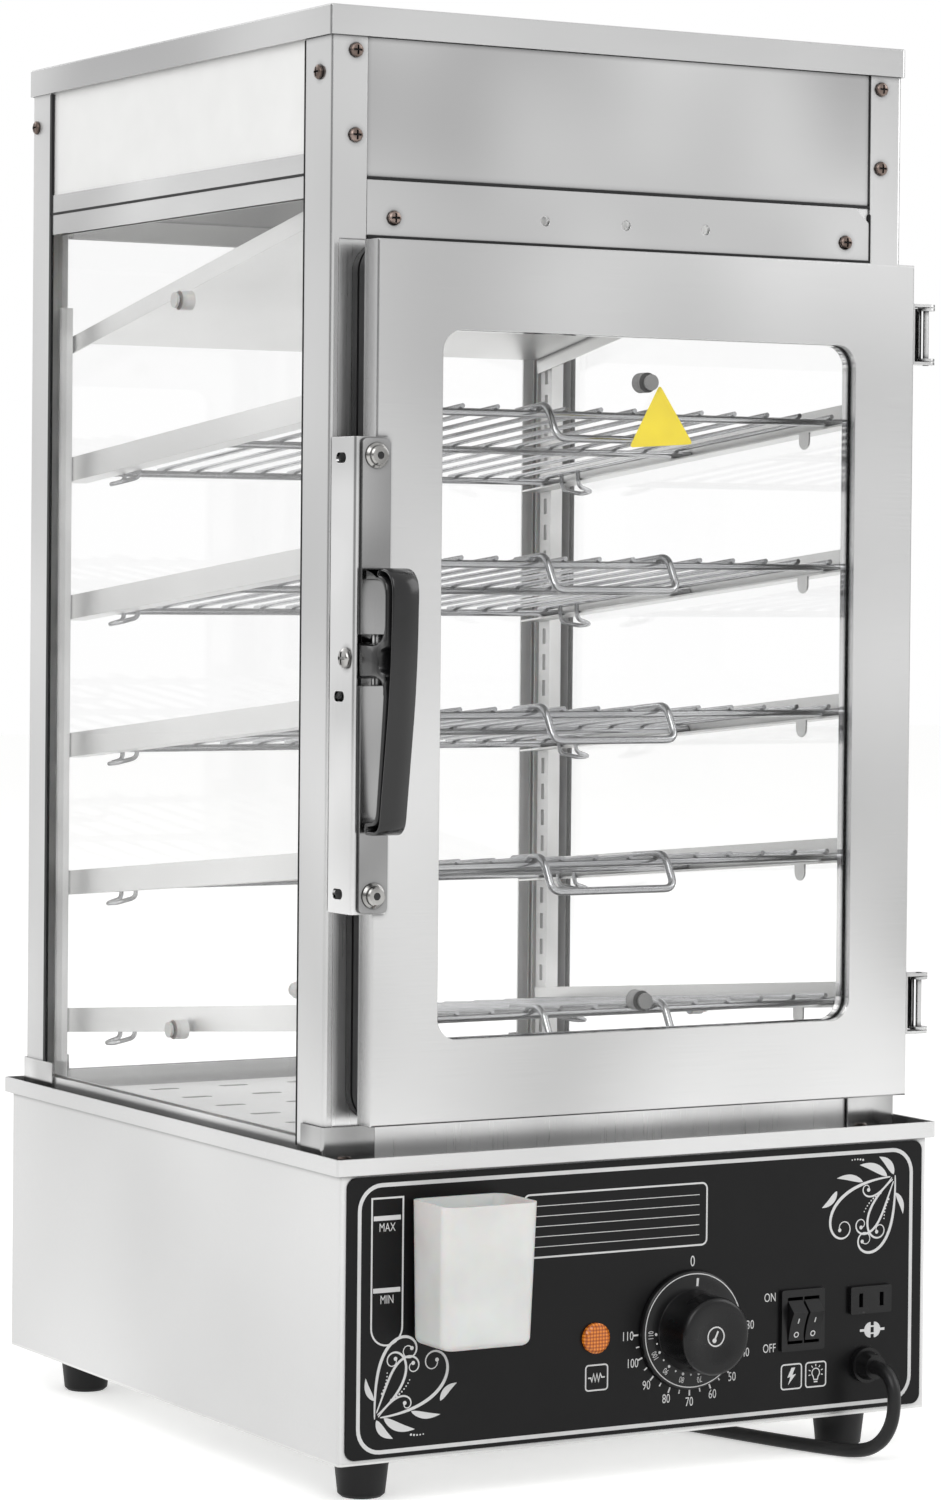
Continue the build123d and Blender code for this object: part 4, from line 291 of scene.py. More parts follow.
class Grain(Enum):
    """Direction of the rolling or brushing marks on sheet metal, as a mark's size along x, y and z."""

    ALONG_X = (45.0, 0.5, 0.5)
    ALONG_Z = (0.5, 0.5, 45.0)
    EVEN = (30.0, 30.0, 30.0)


class Finish:
    """Base of the finishes. A finish makes its material once and gives it to any number of pieces."""

    label = "finish"
    NOISE_LOW, NOISE_HIGH = 0.3, 0.7

    def material(self) -> bpy.types.Material:
        """Makes the material on first use.

        Returns:
            The material of this finish.
        """
        made = bpy.data.materials.get(self.label)
        if made is None:
            made = bpy.data.materials.new(self.label)
            made.use_nodes = True
            made.node_tree.nodes.clear()
            surface = self.surface(made.node_tree)
            add_node(made.node_tree, "ShaderNodeOutputMaterial", {"Surface": surface})
        return made

    def surface(self, tree: Tree) -> Socket:
        """Builds the shader and returns its output."""
        raise NotImplementedError

    def placed(self, tree: Tree, scale: Sequence[float]) -> Socket:
        """Object coordinates times a scale along x, y and z."""
        place = add_node(tree, "ShaderNodeTexCoord").outputs["Object"]
        return output(tree, "ShaderNodeMapping", {"Vector": place, "Scale": scale})

    def pattern(self, tree: Tree, size: Sequence[float], detail: float = 2.0) -> Socket:
        """Noise on Object coordinates with features of a real size.

        Args:
            tree: Material's node tree.
            size: Size of a feature along x, y and z, in mm.
            detail: Octaves of finer noise.

        Returns:
            The noise's factor.
        """
        mapped = self.placed(tree, [1 / (length * MM) for length in size])
        return output(tree, "ShaderNodeTexNoise", {"Vector": mapped, "Scale": 1.0, "Detail": detail})

    def between(self, tree: Tree, factor: Socket, low: float, high: float) -> Socket:
        """Maps a noise factor's usual values, 0.3 to 0.7, to a range."""
        inputs = {"Value": factor, "From Min": self.NOISE_LOW, "From Max": self.NOISE_HIGH}
        return output(tree, "ShaderNodeMapRange", inputs | {"To Min": low, "To Max": high})

    def blend(self, tree: Tree, factor: Socket, first: str, second: str) -> Socket:
        """Mix of two hex colours by a noise factor, as a colour socket."""
        return mixed_colour(tree, self.between(tree, factor, 0.0, 1.0), linear(first), linear(second))


@dataclass(frozen=True)
class Steel(Finish):
    """Stainless or plated steel: satin or mirror, slightly uneven over a hand's width, with painted shade in its
    seams.
    """

    label: str
    light: str = "#DEDEDE"
    dark: str = "#B0B0B0"
    roughness: float = 0.2
    spread: float = 0.03
    grain: Grain = Grain.ALONG_X
    depth: float = 0.004
    waves: float = 190.0
    seams: bool = True
    metal: float = 1.0

    # Lengths in mm, and the shares of open air below which the painted seam shade is darkest and above which it
    # doesn't show
    MARK_HEIGHT, ROLLED_EDGE, SEAM_REACH = 0.2, 0.5, 3.2
    SEAM_SHUT, SEAM_OPEN, SEAM_SHADE = 0.45, 0.93, "#2A2A2B"

    def surface(self, tree: Tree) -> Socket:
        """Builds the shader and returns its output."""
        marks = self.pattern(tree, self.grain.value, 3.0)
        clouds = self.pattern(tree, [self.waves] * 3, 1.0)
        colour = self.blend(tree, clouds, self.dark, self.light)
        normal = {"Height": marks, "Strength": self.depth, "Distance": self.MARK_HEIGHT * MM}
        if self.seams:
            # Where two sheets meet, an occlusion node paints shade into the colour: a dark line about 2 mm wide
            reach = {"Distance": self.SEAM_REACH * MM}
            near = add_node(tree, "ShaderNodeAmbientOcclusion", reach, samples=6).outputs["AO"]
            limits = {"Value": near, "From Min": self.SEAM_SHUT, "From Max": self.SEAM_OPEN}
            open_air = output(tree, "ShaderNodeMapRange", limits)
            colour = mixed_colour(tree, open_air, linear(self.SEAM_SHADE), colour)
            normal["Normal"] = output(tree, "ShaderNodeBevel", {"Radius": self.ROLLED_EDGE * MM}, samples=3)
        inputs = {
            "Base Color": colour,
            "Metallic": self.metal,
            "Roughness": self.between(tree, marks, self.roughness - self.spread, self.roughness + self.spread),
            "Normal": output(tree, "ShaderNodeBump", normal),
        }
        return output(tree, "ShaderNodeBsdfPrincipled", inputs)


@dataclass(frozen=True)
class Moulded(Finish):
    """Moulded plastic, rubber or lacquer: a body colour with a fine skin and slightly uneven gloss."""

    label: str
    light: str = "#242426"
    dark: str = "#1A1A1B"
    roughness: float = 0.4
    spread: float = 0.08
    skin: float = 0.9
    depth: float = 0.15
    coat: float = 0.0
    soften: float = 0.0
    glow: float = 0.0
    shine: float = 0.5

    # Lengths in mm, and the roughness of the coat
    CLOUD_SIZE, SKIN_HEIGHT, SOFT_DEPTH, COAT_ROUGHNESS = 25.0, 0.1, 6.0, 0.06

    def surface(self, tree: Tree) -> Socket:
        """Builds the shader and returns its output."""
        fine = self.pattern(tree, [self.skin] * 3, 3.0)
        clouds = self.pattern(tree, [self.CLOUD_SIZE] * 3)
        normal = {"Height": fine, "Strength": self.depth, "Distance": self.SKIN_HEIGHT * MM}
        inputs: dict[str, Any] = {
            "Base Color": self.blend(tree, clouds, self.dark, self.light),
            "Roughness": self.between(tree, clouds, self.roughness - self.spread, self.roughness + self.spread),
            "Normal": output(tree, "ShaderNodeBump", normal),
            "Specular IOR Level": self.shine,
            "Coat Weight": self.coat,
            "Coat Roughness": self.COAT_ROUGHNESS,
            "Subsurface Weight": self.soften,
            "Subsurface Scale": self.SOFT_DEPTH * MM,
        }
        if self.glow:
            inputs |= {"Emission Color": linear(self.light), "Emission Strength": self.glow}
        return output(tree, "ShaderNodeBsdfPrincipled", inputs)


@dataclass(frozen=True)
class ClearGlass(Finish):
    """Float glass: clear and smooth, letting the lamps through to what stands behind it."""

    label: str = "clear_float_glass"
    tint: str = "#FFFFFF"
    wear_size: float = 120.0
    worn_roughness: float = 0.012
    let_through: float = 0.98
    refraction: float = 1.45

    def surface(self, tree: Tree) -> Socket:
        """Builds the shader and returns its output."""
        wear = self.pattern(tree, [self.wear_size] * 3)
        inputs = {
            "Base Color": linear(self.tint),
            "Roughness": self.between(tree, wear, 0.0, self.worn_roughness),
            "IOR": self.refraction,
            "Transmission Weight": 1.0,
        }
        glass = output(tree, "ShaderNodeBsdfPrincipled", inputs)
        clear = output(tree, "ShaderNodeBsdfTransparent", {"Color": (*[self.let_through] * 3, 1.0)})
        shadow = add_node(tree, "ShaderNodeLightPath").outputs["Is Shadow Ray"]
        return output(tree, "ShaderNodeMixShader", {0: shadow, 1: glass, 2: clear})


@dataclass(frozen=True)
class GridLens(Finish):
    """Amber polystyrene lens with a moulded grid of pips behind it, lit from inside."""

    label: str = "amber_polystyrene_lens"
    light: str = "#EE8E2C"
    dark: str = "#8A3A08"
    pitch: float = 1.7
    pip_height: float = 0.6
    roughness: float = 0.14
    glow: float = 0.2

    def surface(self, tree: Tree) -> Socket:
        """Builds the shader and returns its output."""
        scale = 1 / (self.pitch * MM)
        grid = {"Vector": self.placed(tree, (scale, 0.0, scale)), "Scale": 1.0, "Randomness": 0.0}
        pips = add_node(tree, "ShaderNodeTexVoronoi", grid).outputs["Distance"]
        shade = output(tree, "ShaderNodeMapRange", {"Value": pips, "From Max": 0.6})
        colour = mixed_colour(tree, shade, linear(self.light), linear(self.dark))
        normal = {"Height": pips, "Strength": 0.5, "Distance": self.pip_height * MM}
        inputs = {
            "Base Color": colour,
            "Roughness": self.roughness,
            "Normal": output(tree, "ShaderNodeBump", normal),
            "Emission Color": colour,
            "Emission Strength": self.glow,
        }
        return output(tree, "ShaderNodeBsdfPrincipled", inputs)


# Satin stainless sheet, brushed along its length: fine lines and soft, wide reflections
BRUSHED = Steel("satin_stainless_sheet")
# Satin stainless of the base, rubbed a little duller: an even pale grey side
BASE_STEEL = Steel("satin_stainless_base", "#D6D6D6", "#C6C6C6", 0.3, 0.03)
# Bright stainless foot clips, pressed from thin sheet: strong light and dark bands
CLIP_STEEL = Steel("bright_stainless_foot_clips", "#CFCFCF", "#8A8A8A", 0.15, 0.02, Grain.ALONG_Z, 0.002, 40.0)
# Satin stainless angle, drawn upwards: smooth posts with hardly a line
BRUSHED_UPRIGHT = Steel("satin_stainless_posts", spread=0.015, grain=Grain.ALONG_Z, depth=0.001)
# Bright annealed stainless: smoother than the rest, with slow changes from light to dark
POLISHED = Steel("bright_stainless_header", "#E2E2E2", "#A6A6A6", 0.15, 0.02, Grain.ALONG_X, 0.002, 150.0)
# Plain stainless sheet inside: pale, with no clear reflection
INNER_STEEL = Steel("plain_stainless_inner_sheet", "#E6E6E5", "#CECECD", 0.4, 0.02, Grain.EVEN, 0.001)
# Zinc plated slotted strip: a pale, half dull grey
ZINC = Steel("zinc_plated_slotted_strip", "#E6E6E5", "#CBCBCA", 0.42, 0.04, Grain.EVEN, 0.003, 40.0, False, 0.6)
# Rear posts in satin stainless, less metallic so that they stay pale when seen through several panes
REAR_STEEL = Steel(
    "satin_stainless_rear_posts", "#E2E2E2", "#BEBEBE", 0.36, 0.02, Grain.ALONG_Z, 0.001, 190.0, False, 0.55
)
# Satin stainless glazing rails, brushed along their length, a little less metallic to stay pale behind the glass
RAIL_STEEL = Steel(
    "satin_stainless_rails", "#E0E0E0", "#ACACAC", 0.24, 0.02, Grain.ALONG_X, 0.002, 150.0, False, 0.8
)
# Bright stainless jamb behind the gasket: duller than a mirror, which would show only the black rubber beside it
JAMB_STEEL = Steel(
    "bright_stainless_jamb", "#E8E8E8", "#D0D0D0", 0.3, 0.03, Grain.ALONG_Z, 0.002, 60.0, False
)
# Mirror stainless of the door's inner pan: shows its neighbours
MIRROR = Steel("mirror_stainless_door_edge", "#D4D4D4", "#BEBEBE", 0.05, 0.02, Grain.ALONG_Z, 0.002, 60.0)
# Chromed drawn wire: thin bright lines on mid grey
CHROME = Steel("chromed_steel_wire", "#B0B1B2", "#909193", 0.16, 0.02, Grain.EVEN, 0.01, 60.0, False)
# Chromed latch channel: the brightest sheet on the door
LATCH_CHROME = Steel("bright_chromed_latch_sheet", "#E4E4E4", "#C6C6C6", 0.12, 0.02, Grain.ALONG_Z, 0.002, 60.0)
# Chromed latch plate: a darker grey that changes along it
LATCH_PLATE = Steel("chromed_latch_plate", "#B4B4B4", "#7E7E7E", 0.17, 0.02, Grain.ALONG_Z, 0.002, 70.0)
# Dull zinc plated cross screws: brownish heads with dark crosses, whose recesses also get painted seam shade
SCREW_BRONZE = Steel("dull_zinc_plated_screws", "#8E7F78", "#5C504A", 0.3, 0.06, Grain.EVEN, 0.02, 8.0)
# Nickel plated screws and cup washers: light rings with dark steps, which also get painted seam shade
SCREW_BRIGHT = Steel("nickel_plated_screws", "#B9B8B6", "#8C8B89", 0.22, 0.04, Grain.EVEN, 0.02, 8.0)
# Turned brass: warm yellow with soft highlights
BRASS = Steel("turned_brass", "#C9A25E", "#B08A48", 0.28, 0.06, Grain.EVEN, 0.03, 20.0, False)
# Black polyester overlay: deep black with a weak, even sheen
PANEL_FILM = Moulded("black_polyester_overlay", "#0C0C0D", "#080809", 0.32, 0.04, 0.6, 0.04, shine=0.2)
# White screen ink: flat off-white
WHITE_INK = Moulded("white_screen_ink", "#D8D8D8", "#D0D0D0", 0.5, 0.05, 0.5, 0.05)
# Black ABS of switch, outlet and gland: fine skin, small highlights
BLACK_ABS = Moulded("black_abs_moulding", "#111112", "#0B0B0C", 0.3, 0.06, 0.8, 0.1, shine=0.32)
# Black phenolic lever and dial, polished: long clear highlights
GLOSS_BLACK = Moulded("glossy_black_bakelite_lever", "#171718", "#0F0F10", 0.2, 0.05, 1.2, 0.04, shine=0.5)
# Black EPDM rubber of feet, gasket and strips: nearly matt
RUBBER = Moulded("black_epdm_rubber", "#1A1A1B", "#121213", 0.5, 0.08, 0.7, 0.15, shine=0.3)
# Grey silicone rubber of the hose and door bushes: matt mid grey
GREY_RUBBER = Moulded("grey_silicone_rubber", "#8A8A89", "#757575", 0.5, 0.08, 0.8, 0.15)
# Translucent silicone of the glass seals: light passes a little way into it
SEAL_RUBBER = Moulded("translucent_silicone_seal", "#C9C9C7", "#BDBDBB", 0.45, 0.06, 0.8, 0.1, 0.0, 0.2)
# Black PVC cord sheath: smooth, with a thin line of light along it
CORD_PVC = Moulded("black_pvc_cord", "#141415", "#0E0E0F", 0.38, 0.06, 1.0, 0.1, shine=0.35)
# Opal acrylic sheet with the lamp behind it: even soft white, with a weak painted glow for the lamp's light coming
# through
OPAL = Moulded("opal_acrylic_sheet", "#ECECEB", "#E8E8E7", 0.3, 0.02, 2.0, 0.0, glow=0.06)
# Milky polypropylene of cup and float: light spreads inside it and rounds off its edges
MILKY = Moulded("milky_polypropylene", "#E4E4E2", "#DADAD8", 0.34, 0.05, 1.5, 0.06, 0.0, 0.35)
# White enamel of the header lamp, taken as lit: it brightens the inside of the header
WHITE_ENAMEL = Moulded("white_lamp_enamel", "#ECECE8", "#E2E2DE", 0.3, 0.05, 1.0, 0.05, glow=2.5)
# Yellow vinyl sticker: even yellow, slightly glossy
YELLOW_VINYL = Moulded("yellow_vinyl_sticker", "#E6D428", "#DAC61C", 0.32, 0.05, 0.6, 0.04, 0.2)
# Clear float glass of panes and door: what stands behind it shows through, with weak reflections
GLASS = ClearGlass()
# Amber lens of the indicator lamp: glowing orange dots on a darker grid
AMBER = GridLens()


def dress(frame: dict[str, Any], finish: Finish, *names: str) -> None:
    """Gives solid-model nodes a finish.

    Args:
        finish: Finish of the nodes.
        names: The nodes.
    """
    for name in names:
        piece = frame["nodes"][name]
        if not piece.material_slots:
            piece.data.materials.append(finish.material())
        for place in piece.material_slots:
            place.material = finish.material()
        log.info("dressed %s with %s", name, finish.label)


# Printing on flat faces


class Print:
    """Flat ink on an upright plane: areas, lines and words, in the plane's own millimetres."""

    LAYER_STEP, LAYERS = 0.004, 9

    def __init__(self) -> None:
        """Starts with a bare plane."""
        self.ink = bmesh.new()
        self.strokes = 0

    def layer(self) -> float:
        """Height of the next stroke in metres, so that strokes which cross don't share a plane."""
        self.strokes += 1
        return self.LAYER_STEP * MM * (self.strokes % self.LAYERS)

    def area(self, points: Sequence[Point2]) -> None:
        """Fills a closed outline, whose corners run counter-clockwise."""
        height = self.layer()
        self.ink.faces.new([self.ink.verts.new((x * MM, y * MM, height)) for x, y in points])

    def line(self, points: Sequence[Point2], width: float | Sequence[float], closed: bool = False) -> None:
        """Draws a line of even or changing width with mitred corners.

        Args:
            points: Points on its middle.
            width: Its width in mm, or one width per point.
            closed: Whether the last point runs back to the first.
        """
        count, height = len(points), self.layer()
        widths = [width] * count if isinstance(width, (int, float)) else list(width)
        middle = [Vector(point) for point in points]
        rails = []
        for index, here in enumerate(middle):
            before = middle[index - 1] if index or closed else here * 2 - middle[index + 1]
            after = middle[(index + 1) % count] if index < count - 1 or closed else here * 2 - middle[index - 1]
            step = mitre(before, here, after, 0.5) * widths[index] / 2
            rails.append([self.ink.verts.new((*spot * MM, height)) for spot in (here + step, here - step)])
        for index in range(count if closed else count - 1):
            (left, right), (next_left, next_right) = rails[index], rails[(index + 1) % count]
            self.ink.faces.new((left, right, next_right, next_left))

    def ring(self, centre: Point2, radius: float, width: float, steps: int = 64) -> None:
        """Draws a circle's line."""
        self.line(circle(centre, radius, steps), width, closed=True)

    def disc(self, centre: Point2, radius: float, steps: int = 20) -> None:
        """Fills a circle."""
        self.area(circle(centre, radius, steps))

    def frame(self, left: float, right: float, bottom: float, top: float, corner: float, width: float) -> None:
        """Draws a rectangle's line with round corners.

        Args:
            left: Left side of the line's middle.
            right: Right side.
            bottom: Lower side.
            top: Upper side.
            corner: Corner radius.
            width: Width of the line.
        """
        spots = ((right - corner, top - corner), (left + corner, top - corner))
        spots += ((left + corner, bottom + corner), (right - corner, bottom + corner))
        points = [p for turn, spot in enumerate(spots) for p in arc(spot, corner, turn * 90, turn * 90 + 90, 9)]
        self.line(points, width, closed=True)

    def word(self, text: str, centre: Point2, height: float, squeeze: float = 0.8, turn: float = 0.0) -> None:
        """Sets a word or number.

        Args:
            text: The characters.
            centre: Middle of the word.
            height: Height of its capitals in mm.
            squeeze: Width as a share of the typeface's own.
            turn: Turn in degrees, counter-clockwise.
        """
        face = bpy.data.curves.new("word", "FONT")
        face.body, face.resolution_u = text, 3
        holder = bpy.data.objects.new("word", face)
        mesh = bpy.data.meshes.new_from_object(holder)
        spread = [[vertex.co[axis] for vertex in mesh.vertices] for axis in (0, 1)]
        low, high = [min(values) for values in spread], [max(values) for values in spread]
        scale = height / (high[1] - low[1]) * MM
        move = Matrix.Translation((-(low[0] + high[0]) / 2, -(low[1] + high[1]) / 2, 0.0))
        size = Matrix.Diagonal((scale * squeeze, scale, 1.0, 1.0))
        turned = Matrix.Rotation(math.radians(turn), 4, "Z")
        mesh.transform(Matrix.Translation((*metres(*centre), 0.0)) @ turned @ size @ move)
        self.ink.from_mesh(mesh)
        bpy.data.objects.remove(holder)
        bpy.data.curves.remove(face)
        bpy.data.meshes.remove(mesh)

    def lay(self, name: str, plane: Matrix, finish: Finish, body: str) -> None:
        """Turns the ink into a piece on a body.

        Args:
            name: Name of the piece.
            plane: Place of the plane in the frame.
            finish: The ink's finish.
            body: Body that the piece rides on.
        """
        self.ink.normal_update()
        bmesh.ops.reverse_faces(self.ink, faces=[face for face in self.ink.faces if face.normal.z < 0])
        self.ink.transform(plane)
        piece = from_bmesh(name, self.ink, finish, smooth=False)
        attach(piece, body)
        log.info("printed %s, %d faces", name, len(piece.data.polygons))


@dataclass
class Scroll:
    """Printed corner ornament: tendrils that tighten into curls, plain leaves and rows of dots."""

    root: Point2
    lean: float

    # Root, heading in degrees, length, curvature at the root and curvature gained up to the end
    TENDRILS = (
        ((0.0, 0.0), 92.0, 74.0, -0.008, -0.44),
        ((1.0, 3.0), 66.0, 52.0, 0.004, -0.58),
        ((1.5, 2.0), 34.0, 54.0, 0.018, 0.5),
        ((3.0, 0.6), 2.0, 78.0, 0.013, 0.36),
        ((2.0, 1.0), 50.0, 30.0, -0.02, -0.74),
    )
    # Lower end, tip and half width, whose sign gives the side that the leaf bends to
    LEAVES = (
        ((5.0, 0.2), (22.0, -6.5), -2.1),
        ((1.0, -0.5), (10.0, -10.0), -2.0),
        ((20.0, 2.2), (36.0, -0.5), -1.6),
        ((36.0, 6.0), (45.0, 14.0), 1.7),
        ((-0.4, 9.0), (-5.0, 20.0), 1.5),
    )
    # First dot, heading in degrees and number of dots
    DOT_ROWS = (((9.0, 8.6), 24.0, 9), ((4.0, 12.0), 62.0, 7), ((20.0, -9.0), -10.0, 5))
    THIN_LINE, STEPS, LEAF_STEPS, DOT_PITCH, DOT_BEND = 0.5, 54, 16, 1.7, 5.0

    def place(self, x: float, y: float) -> Point2:
        """Puts a point of the ornament's own frame on the panel."""
        turn = math.radians(self.lean)
        across = self.root[0] + x * math.cos(turn) - y * math.sin(turn)
        return across, self.root[1] + x * math.sin(turn) + y * math.cos(turn)

    def tendril(self, ink: Print, start: Point2, heading: float, length: float, bend: float, curl: float) -> None:
        """Draws a line whose curvature grows along it, so that it ends in a curl.

        Args:
            ink: Print that gets it.
            start: Its root in the ornament's own frame.
            heading: Direction at its root in degrees.
            length: Its length in mm.
            bend: Curvature at its root, per mm.
            curl: Curvature that is added up to its end, per mm.
        """
        (x, y), angle, step = start, math.radians(heading), length / self.STEPS
        points, widths = [self.place(x, y)], [self.THIN_LINE]
        for index in range(self.STEPS):
            share = (index + 0.5) / self.STEPS
            angle += (bend + curl * share**3) * step
            x, y = x + math.cos(angle) * step, y + math.sin(angle) * step
            points.append(self.place(x, y))
            widths.append(self.THIN_LINE + length / 64 * math.sin(math.pi * min(1.0, 0.1 + share)) ** 1.3)
        ink.line(points, widths)
        ink.disc(points[-1], 1.0)

    def leaf(self, ink: Print, base: Point2, tip: Point2, belly: float) -> None:
        """Fills a bent, pointed leaf between two points.

        Args:
            ink: Print that gets it.
            base: Its narrow lower end.
            tip: Its point.
            belly: Half of its width at its widest; its sign gives the side that it bends to.
        """
        along = Vector(tip) - Vector(base)
        across = Vector((-along.y, along.x)).normalized()
        shares = [index / self.LEAF_STEPS for index in range(self.LEAF_STEPS + 1)]
        spots = [Vector(base) + along * s + across * math.sin(math.pi * s) * belly * 0.8 for s in shares]
        widths = [max(0.1, 2 * abs(belly) * math.sin(math.pi * s**0.8) ** 0.85) for s in shares]
        ink.line([self.place(*spot) for spot in spots], widths)

    def dots(self, ink: Print, start: Point2, heading: float, count: int) -> None:
        """Draws a row of shrinking dots on a gentle bend."""
        x, y = start
        for index in range(count):
            ink.disc(self.place(x, y), 0.6 - 0.3 * index / count, 10)
            turn = math.radians(heading + self.DOT_BEND * index)
            x, y = x + self.DOT_PITCH * math.cos(turn), y + self.DOT_PITCH * math.sin(turn)

    def draw(self, ink: Print) -> None:
        """Draws the whole ornament."""
        for form, rows in ((self.tendril, self.TENDRILS), (self.leaf, self.LEAVES), (self.dots, self.DOT_ROWS)):
            for row in rows:
                form(ink, *row)


@dataclass
class ControlPanel:
    """Printed face of the base: border, level gauge, note box, scale, switch labels and pictograms."""

    border: tuple[float, ...] = (-160.5, 160.5, 27.5, 155.5, 12.0, 2.0)
    number_radius: float = 36.0
    first_angle: float = 181.0
    step_angle: float = 22.3
    numbers: tuple[int, ...] = (110, 100, 90, 80, 70, 60, 50, 40, 30)
    box_corner: float = 1.6
    box_line: float = 0.75
    ink: Print = field(default_factory=Print)

    def gauge(self) -> None:
        """Level gauge beside the filler cup, with its upper and lower marks."""
        left, right, top, foot = -153.8, -136.8, 149.2, 87.0
        middle = (left + right) / 2
        outline = [(right, top), (left, top)] + arc((middle, foot), (right - left) / 2, 180, 360, 17)
        self.ink.line(outline, 0.9, closed=True)
        for text, height in (("MAX", 139.6), ("MIN", 105.0)):
            self.ink.line([(left + 0.9, height), (right - 1.3, height)], 2.3)
            self.ink.word(text, (middle, height - 4.4), 4.0, 0.72)

    def note_box(self) -> None:
        """White-lined box with plain ruled lines, to be written in."""
        left, right, first_line, line_pitch = -65.0, 31.8, 139.9, 5.0
        self.ink.frame(-69.5, 36.2, 114.8, 145.6, 3.0, 0.9)
        for index in range(5):
            height = first_line - line_pitch * index
            self.ink.line([(left, height), (right, height)], 0.35)

    def scale(self) -> None:
        """Numbers and ticks around the dial, with the zero at the top."""
        for index, number in enumerate(self.numbers):
            angle = self.first_angle + index * self.step_angle
            self.ink.word(str(number), spoke(DIAL_CENTRE, angle, self.number_radius)[0], 4.5, 0.74)
            self.ink.line(spoke(DIAL_CENTRE, angle, 30.2, 33.0), 0.9)
            if index < len(self.numbers) - 1:
                self.ink.line(spoke(DIAL_CENTRE, angle + self.step_angle / 2, 30.2, 32.2), 0.7)
        self.ink.word("0", (28.1, 107.0), 5.4, 0.75)

    def heater_mark(self) -> None:
        """Box with a zigzag heating wire, under the indicator lamp."""
        self.ink.frame(-33.6, -21.0, 47.2, 59.6, self.box_corner, self.box_line)
        middle, swing, first_x, pitch = 53.4, 1.9, -30.0, 0.95
        wire = [(first_x + pitch * index, middle + (swing if index % 2 else -swing)) for index in range(6)]
        ends = (-32.2, middle), (-30.6, middle), (-24.4, middle), (-22.6, middle)
        self.ink.line([*ends[:2], *wire, *ends[2:]], 0.7)

    def switch_marks(self) -> None:
        """Boxes under the switches: a flash for the power, and a shining lamp for the light."""
        low, high = 38.2, 50.6
        self.ink.frame(81.8, 94.0, low, high, self.box_corner, self.box_line)
        self.ink.area([(90.2, 48.9), (88.0, 48.9), (85.4, 43.9), (88.2, 44.6)])
        self.ink.area([(90.6, 45.6), (87.6, 45.0), (85.9, 40.2), (90.4, 45.2)])
        self.ink.frame(96.6, 108.8, low, high, self.box_corner, self.box_line)
        lamp, neck, foot = (102.7, 45.2), 41.8, 40.7
        left, right = lamp[0] - 1.1, lamp[0] + 1.1
        self.ink.line(arc(lamp, 2.3, -50, 230, 22) + [(left, neck), (right, neck)], 0.55, closed=True)
        self.ink.line([(left, foot), (right, foot)], 0.7)
        for index in range(7):
            self.ink.line(spoke(lamp, -15 + 35 * index, 3.3, 4.5), 0.5)

    def plug_mark(self) -> None:
        """Two halves of a plug that meet, under the outlet."""
        x, z = 137.2, 64.4
        for side in (-1, 1):
            self.ink.area(arc((x + side, z), 4.0, -90 * side, 180 - 90 * side, 17))
            self.ink.line([(x + side * 4.6, z), (x + side * 7.6, z)], 1.3)
        for height in (z - 1.8, z + 1.8):
            self.ink.line([(x - 1.0, height), (x + 1.0, height)], 0.8)

    def build(self) -> None:
        """Prints the panel."""
        self.ink.frame(*self.border)
        self.gauge()
        self.note_box()
        self.scale()
        self.heater_mark()
        self.switch_marks()
        self.plug_mark()
        self.ink.word("ON", (74.5, 85.4), 4.4, 0.72)
        self.ink.word("OFF", (74.4, 59.8), 4.4, 0.72)
        Scroll((-151.5, 43.5), 0.0).draw(self.ink)
        Scroll((150.5, 142.5), 180.0).draw(self.ink)
        self.ink.lay("panel_print", upright(PANEL_FACE_Y - 0.06), WHITE_INK, "cabinet")


